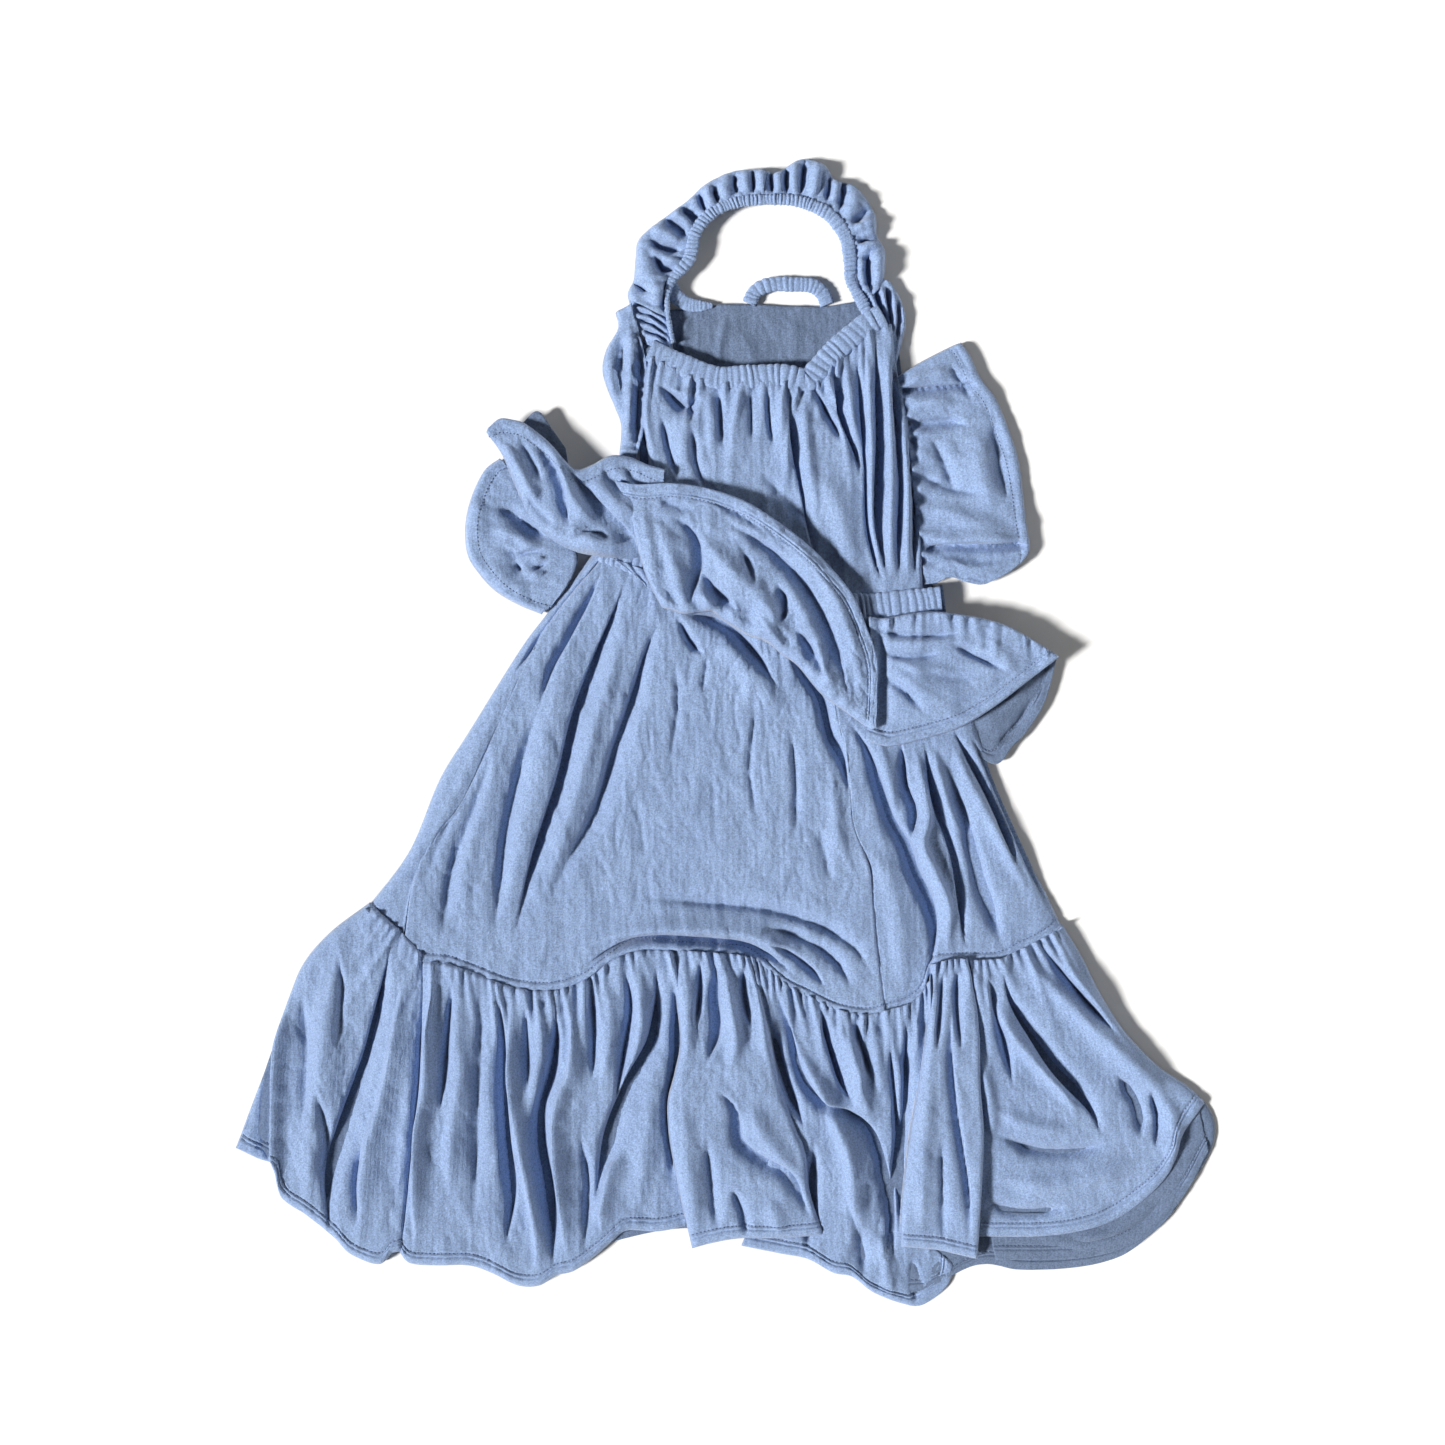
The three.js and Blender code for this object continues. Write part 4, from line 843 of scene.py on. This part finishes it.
def bands():
    cased_band("neck",
               [(-117, 226, 15), (-87, 212.5, 16), (-58, 201.5, 17), (-35, 202, 17), (0, 203, 17), (16, 200, 17),
                (25, 200, 17), (38, 214, 17), (50, 227, 17), (64, 239, 17), (77, 249.5, 16), (91, 257, 15)],
               19, 5, "dress", 6.6, 2.6, 5, (20, 20))
    cased_band("waist",
               [(-161, 50, 16), (-110, 30, 16), (-50, 8, 16), (0, -1, 16), (40, -3, 16), (80, -3, 16), (110, 0, 16),
                (143, 3, 16)],
               23, 5, "dress", 6.4, 2.6, 6)
    ring = {"left": [(-96, 233), (-99, 248), (-101, 262), (-101, 277), (-97, 289), (-89, 299), (-82, 307.5),
                     (-79, 318), (-77, 329), (-70, 341), (-59, 350.5), (-45, 357), (-30, 360), (-16, 361)],
            "right": [(-16, 361), (6, 361), (20, 358.5), (31, 354.5), (42, 348.5), (52, 338), (58.5, 327),
                      (61.5, 313), (62.5, 300), (62, 291), (66, 281), (73, 269), (78, 258)]}
    wide = {"left": [2.5, 3, 3, 3.5, 6, 9.5, 10, 10, 9.5, 9, 8.5, 8, 8, 8],
            "right": [8, 8, 8.5, 9, 10, 10.5, 11, 11, 11, 9, 8, 9, 9]}
    for side, part in ring.items():
        path = [(x, y, 13) for x, y in part]
        cased_band(f"strap_{side}", path, wide[side], 4.5, ACROSS_STRAPS, 3.8, 2.2, 8)
    cased_band("back_strap", [(-28, 270, 4), (-22, 281, 4.5), (-8, 287, 5), (12, 287, 5), (28, 286, 5),
                              (38, 279, 4.5), (42, 269, 4)],
               12, 5, "dress", 4.4, 1.8, 9)
    cased_band("back_strap_end", [(-97, 287, 8), (-94, 277, 7), (-85, 270, 6), (-73, 267.5, 6), (-61, 268, 5)],
               [9, 13, 12, 10, 4], 3.5, "dress", 3.6, 0.9, 10)
    back = [(-161, 50, 4), (-50, 8, 4), (0, -1, 4), (80, -3, 4), (147, 5, 4)]
    make_band("waist_casing_back", back, 23, 4, "dress", LIT_GATHERED, 6.4, 1.6, 0.1, 7)
    make_band("waist_elastic_back", back, 20, 1.6, "dress", ELASTIC, 1.6, 0.2, 0, 7, 1.0, slot="elastic")


bands()

# ---------------------------------------------------------------- strap ruffles

cloth("strap_left_ruffle", [-100, 255, -100, 270, -98, 284, -89, 298, -83, 312, -79, 325, -73, 338, -62, 349, -46, 357,
     -30, 361, -15, 363], [-135, 272, -136, 280, -131, 291, -130, 300, -129, 312, -126, 328, -107, 344, -84, 361,
     -66, 377, -42, 388, -14, 390],
    heights=[(-115, 290, 13), (-105, 330, 11), (-80, 355, 11), (-30, 380, 11)],
    folds=[([-40, 387, -41, 374, -38, 364], 2.6, -8), ([-50, 383, -50, 370, -47, 360], 4, 4),
     ([-60, 374, -58, 365, -55, 357], 2.6, -7), ([-66, 376, -64, 362, -59, 353], 3, 4),
     ([-73, 370, -70, 358, -65, 349], 3, -9), ([-90, 356, -81, 349, -72, 341], 5, -9),
     ([-98, 350, -88, 344, -79, 335], 4, 5), ([-106, 345, -95, 338, -83, 327], 5, -9, 0.2),
     ([-118, 336, -102, 330, -88, 322], 5, 5), ([-118, 327, -108, 320, -96, 317, -86, 316], 4, -9),
     ([-118, 320, -108, 310, -98, 306, -88, 307], 3.4, 4), ([-113, 313, -108, 302, -101, 296, -92, 299], 3.6, -11),
     ([-124, 318, -118, 298, -110, 278, -106, 262], 8, 5), ([-101, 292, -103, 280, -105, 268, -105, 258], 2.4, -10),
     ([-133, 288, -126, 284, -117, 277], 2.4, -6), ([-25, 390, -24, 376, -24, 365], 3, -6),
     ([-32, 389, -31, 376, -30, 364], 3, 4), ([-17, 390, -17, 376, -17, 366], 3, 5)],
    gathers=[(81, 5, 2.0, 14, "top"), (82, 9, 2.0, 10, "bottom")], crumple=(83, 12, 1.4, (1, 1), 0.9), hem=None,
     rolls=[("bottom", 7, 1.5), ("top", 6, 7)], material=LIT_GATHERED, paired=True, body=ACROSS_STRAPS)
cloth("strap_right_ruffle", [-18, 363, -4, 363, 10, 362, 24, 359, 38, 352, 50, 343, 60, 330, 66, 316, 68, 302, 69, 288,
     77, 270], [-19, 391, -3, 387, 18, 399, 38, 395, 49, 381, 68, 374, 84, 351, 86, 331, 93, 318, 93, 300, 91, 284],
    heights=[(72, 350, 11), (40, 372, 11), (80, 310, 12)],
    folds=[([-9, 388, -8, 376, -7, 366], 2.8, -8), ([-2, 388, -2, 376, 0, 366], 3.4, 4),
     ([6, 392, 5, 378, 6, 366], 2.8, -8), ([14, 396, 12, 380, 12, 366], 4, 5), ([22, 398, 20, 380, 18, 364], 3, -9),
     ([34, 396, 30, 378, 28, 362], 4, 5, 0.2), ([44, 388, 44, 374, 41, 359], 2.8, -10),
     ([50, 381, 50, 369, 46, 357], 3, 5), ([55, 378, 56, 366, 53, 352], 3, -10),
     ([67, 369, 65, 357, 58, 345], 5, 5), ([81, 358, 75, 349, 63, 339], 5, -7), ([84, 344, 76, 338, 66, 333], 4, 4),
     ([88, 326, 78, 327, 67, 322], 2.8, -9), ([90, 321, 79, 320, 69, 314], 3.6, 4),
     ([80, 316, 78, 304, 79, 290, 82, 276], 3.2, -12), ([88, 316, 87, 302, 86, 288], 5, 5),
     ([72, 312, 71, 300, 74, 284], 3.4, 3)],
    gathers=[(84, 5, 2.0, 14, "top"), (85, 9, 2.0, 10, "bottom")], crumple=(86, 12, 1.4, (1, 1), 0.9), hem=None,
     rolls=[("bottom", 7, 1.5), ("top", 6, 7)], material=LIT_GATHERED, paired=True, body=ACROSS_STRAPS)
cloth("strap_left_foot", [-137, 280, -122, 277, -108, 270, -99, 264], [-121, 233, -112, 229, -104, 228, -96, 228],
     [-137, 280, -134, 262, -129, 250, -121, 233], [-99, 264, -99, 250, -96, 228],
    heights=[(-128, 268, 8), (-106, 250, 10), (-106, 232, 14), (-120, 245, 9)],
    folds=[([-134, 270, -122, 268, -110, 260, -100, 254], 1.8, -3.4),
     ([-133, 266, -121, 264.5, -109, 257, -100, 250], 2.2, 3),
     ([-132, 262, -120, 260.5, -108, 253, -100, 246], 1.8, -3.4),
     ([-131, 258, -118, 256.5, -107, 248, -99, 242], 2.2, 3),
     ([-130, 254, -117, 252, -106, 243.5, -99, 238], 1.8, -3.4),
     ([-128, 250, -115, 248, -105, 240, -98, 235], 2.2, 3),
     ([-125, 246, -114, 243.5, -104, 236.5, -98, 232], 1.8, -3.4), ([-122, 241, -112, 238, -103, 232], 2.0, 3)],
    crumple=(89, 12, 0.8, (1, 1), 0.7), hem=None, rolls=[("left", 5, 2), ("right", 3, 6)], material=LIT_GATHERED)
cloth("strap_right_foot", [66, 284, 78, 283, 90, 290, 100, 288], [80, 264, 90, 250, 99, 230, 104, 214], [66, 284,
     70, 276, 75, 269, 80, 264], [100, 288, 109, 272, 113, 255, 110, 238, 104, 214],
    heights=[(85, 275, 11), (105, 245, 11)],
    folds=[([72, 282, 78, 268, 90, 250, 98, 234], 2.4, -6), ([78, 282, 84, 268, 95, 248], 2.6, 4),
     ([84, 284, 89, 268, 97, 248], 2.4, -7), ([90, 287, 93, 270, 99, 250], 2.6, 5),
     ([95, 286, 97, 268, 100, 246], 2.4, -7), ([100, 282, 103, 262, 103, 240], 3, 4),
     ([104, 274, 106, 256, 104, 234], 2.6, -5)],
    crumple=(92, 12, 1.2, (1, 1), 0.7), hem=None, rolls=[("right", 5, 2), ("left", 4, 6)], material=LIT_GATHERED)

# ---------------------------------------------------------------- floor, light and camera


def stage():
    """A round floor that curves up into a wall far away, soft light from the upper left, and the photo's camera."""
    steps, sides = 24, 64
    low = cad_box[0][2]
    profile = [(10000, 0), (11600, 150), (12900, 750), (13700, 1900), (14000, 3600), (14000, 6500)]
    line = spline(profile, steps)
    turns = np.linspace(0, 2 * math.pi, sides, endpoint=False)
    points = [(r * math.cos(a), r * math.sin(a), z - 0.3) for r, z in line for a in turns]
    faces = [[*range(sides)], *grid_faces(steps, sides, wrap=True)]
    floor = mesh_object("floor", points, faces, floor_material())
    world = bpy.data.worlds.new("studio")
    world.use_nodes = True
    set_inputs(world.node_tree.nodes["Background"], {"Color": (0.93, 0.96, 1, 1), "Strength": 0.07})
    bpy.context.scene.world = world
    sun = bpy.data.lights.new("window", "SUN")
    sun.energy = 5.45
    sun.angle = math.radians(10)
    sun.color = (1, 0.985, 0.96)
    lamp = bpy.data.objects.new("window", sun)
    lamp.rotation_euler = Vector((0.74, 0.27, -0.62)).to_track_quat("-Z", "Y").to_euler()
    bpy.context.scene.collection.objects.link(lamp)
    camera = bpy.data.cameras.new("camera")
    seen_width = 1300.5 * UNIT  # what the photo's width shows
    distance = 1.75
    camera.sensor_width = 36
    camera.lens = camera.sensor_width * distance / seen_width
    eye = bpy.data.objects.new("camera", camera)
    middle = [(a + b) / 2 for a, b in zip(*cad_box, strict=True)]
    eye.location = (middle[0] - 0.0025, middle[1] + 0.009, low + distance)
    bpy.context.scene.collection.objects.link(eye)
    bpy.context.scene.camera = eye
    bpy.context.scene.view_settings.view_transform = "Standard"


def floor_material():
    material = bpy.data.materials.new("floor")
    material.use_nodes = True
    set_inputs(material.node_tree.nodes["Principled BSDF"], {"Base Color": (0.88, 0.88, 0.88, 1), "Roughness": 0.9})
    return material


stage()
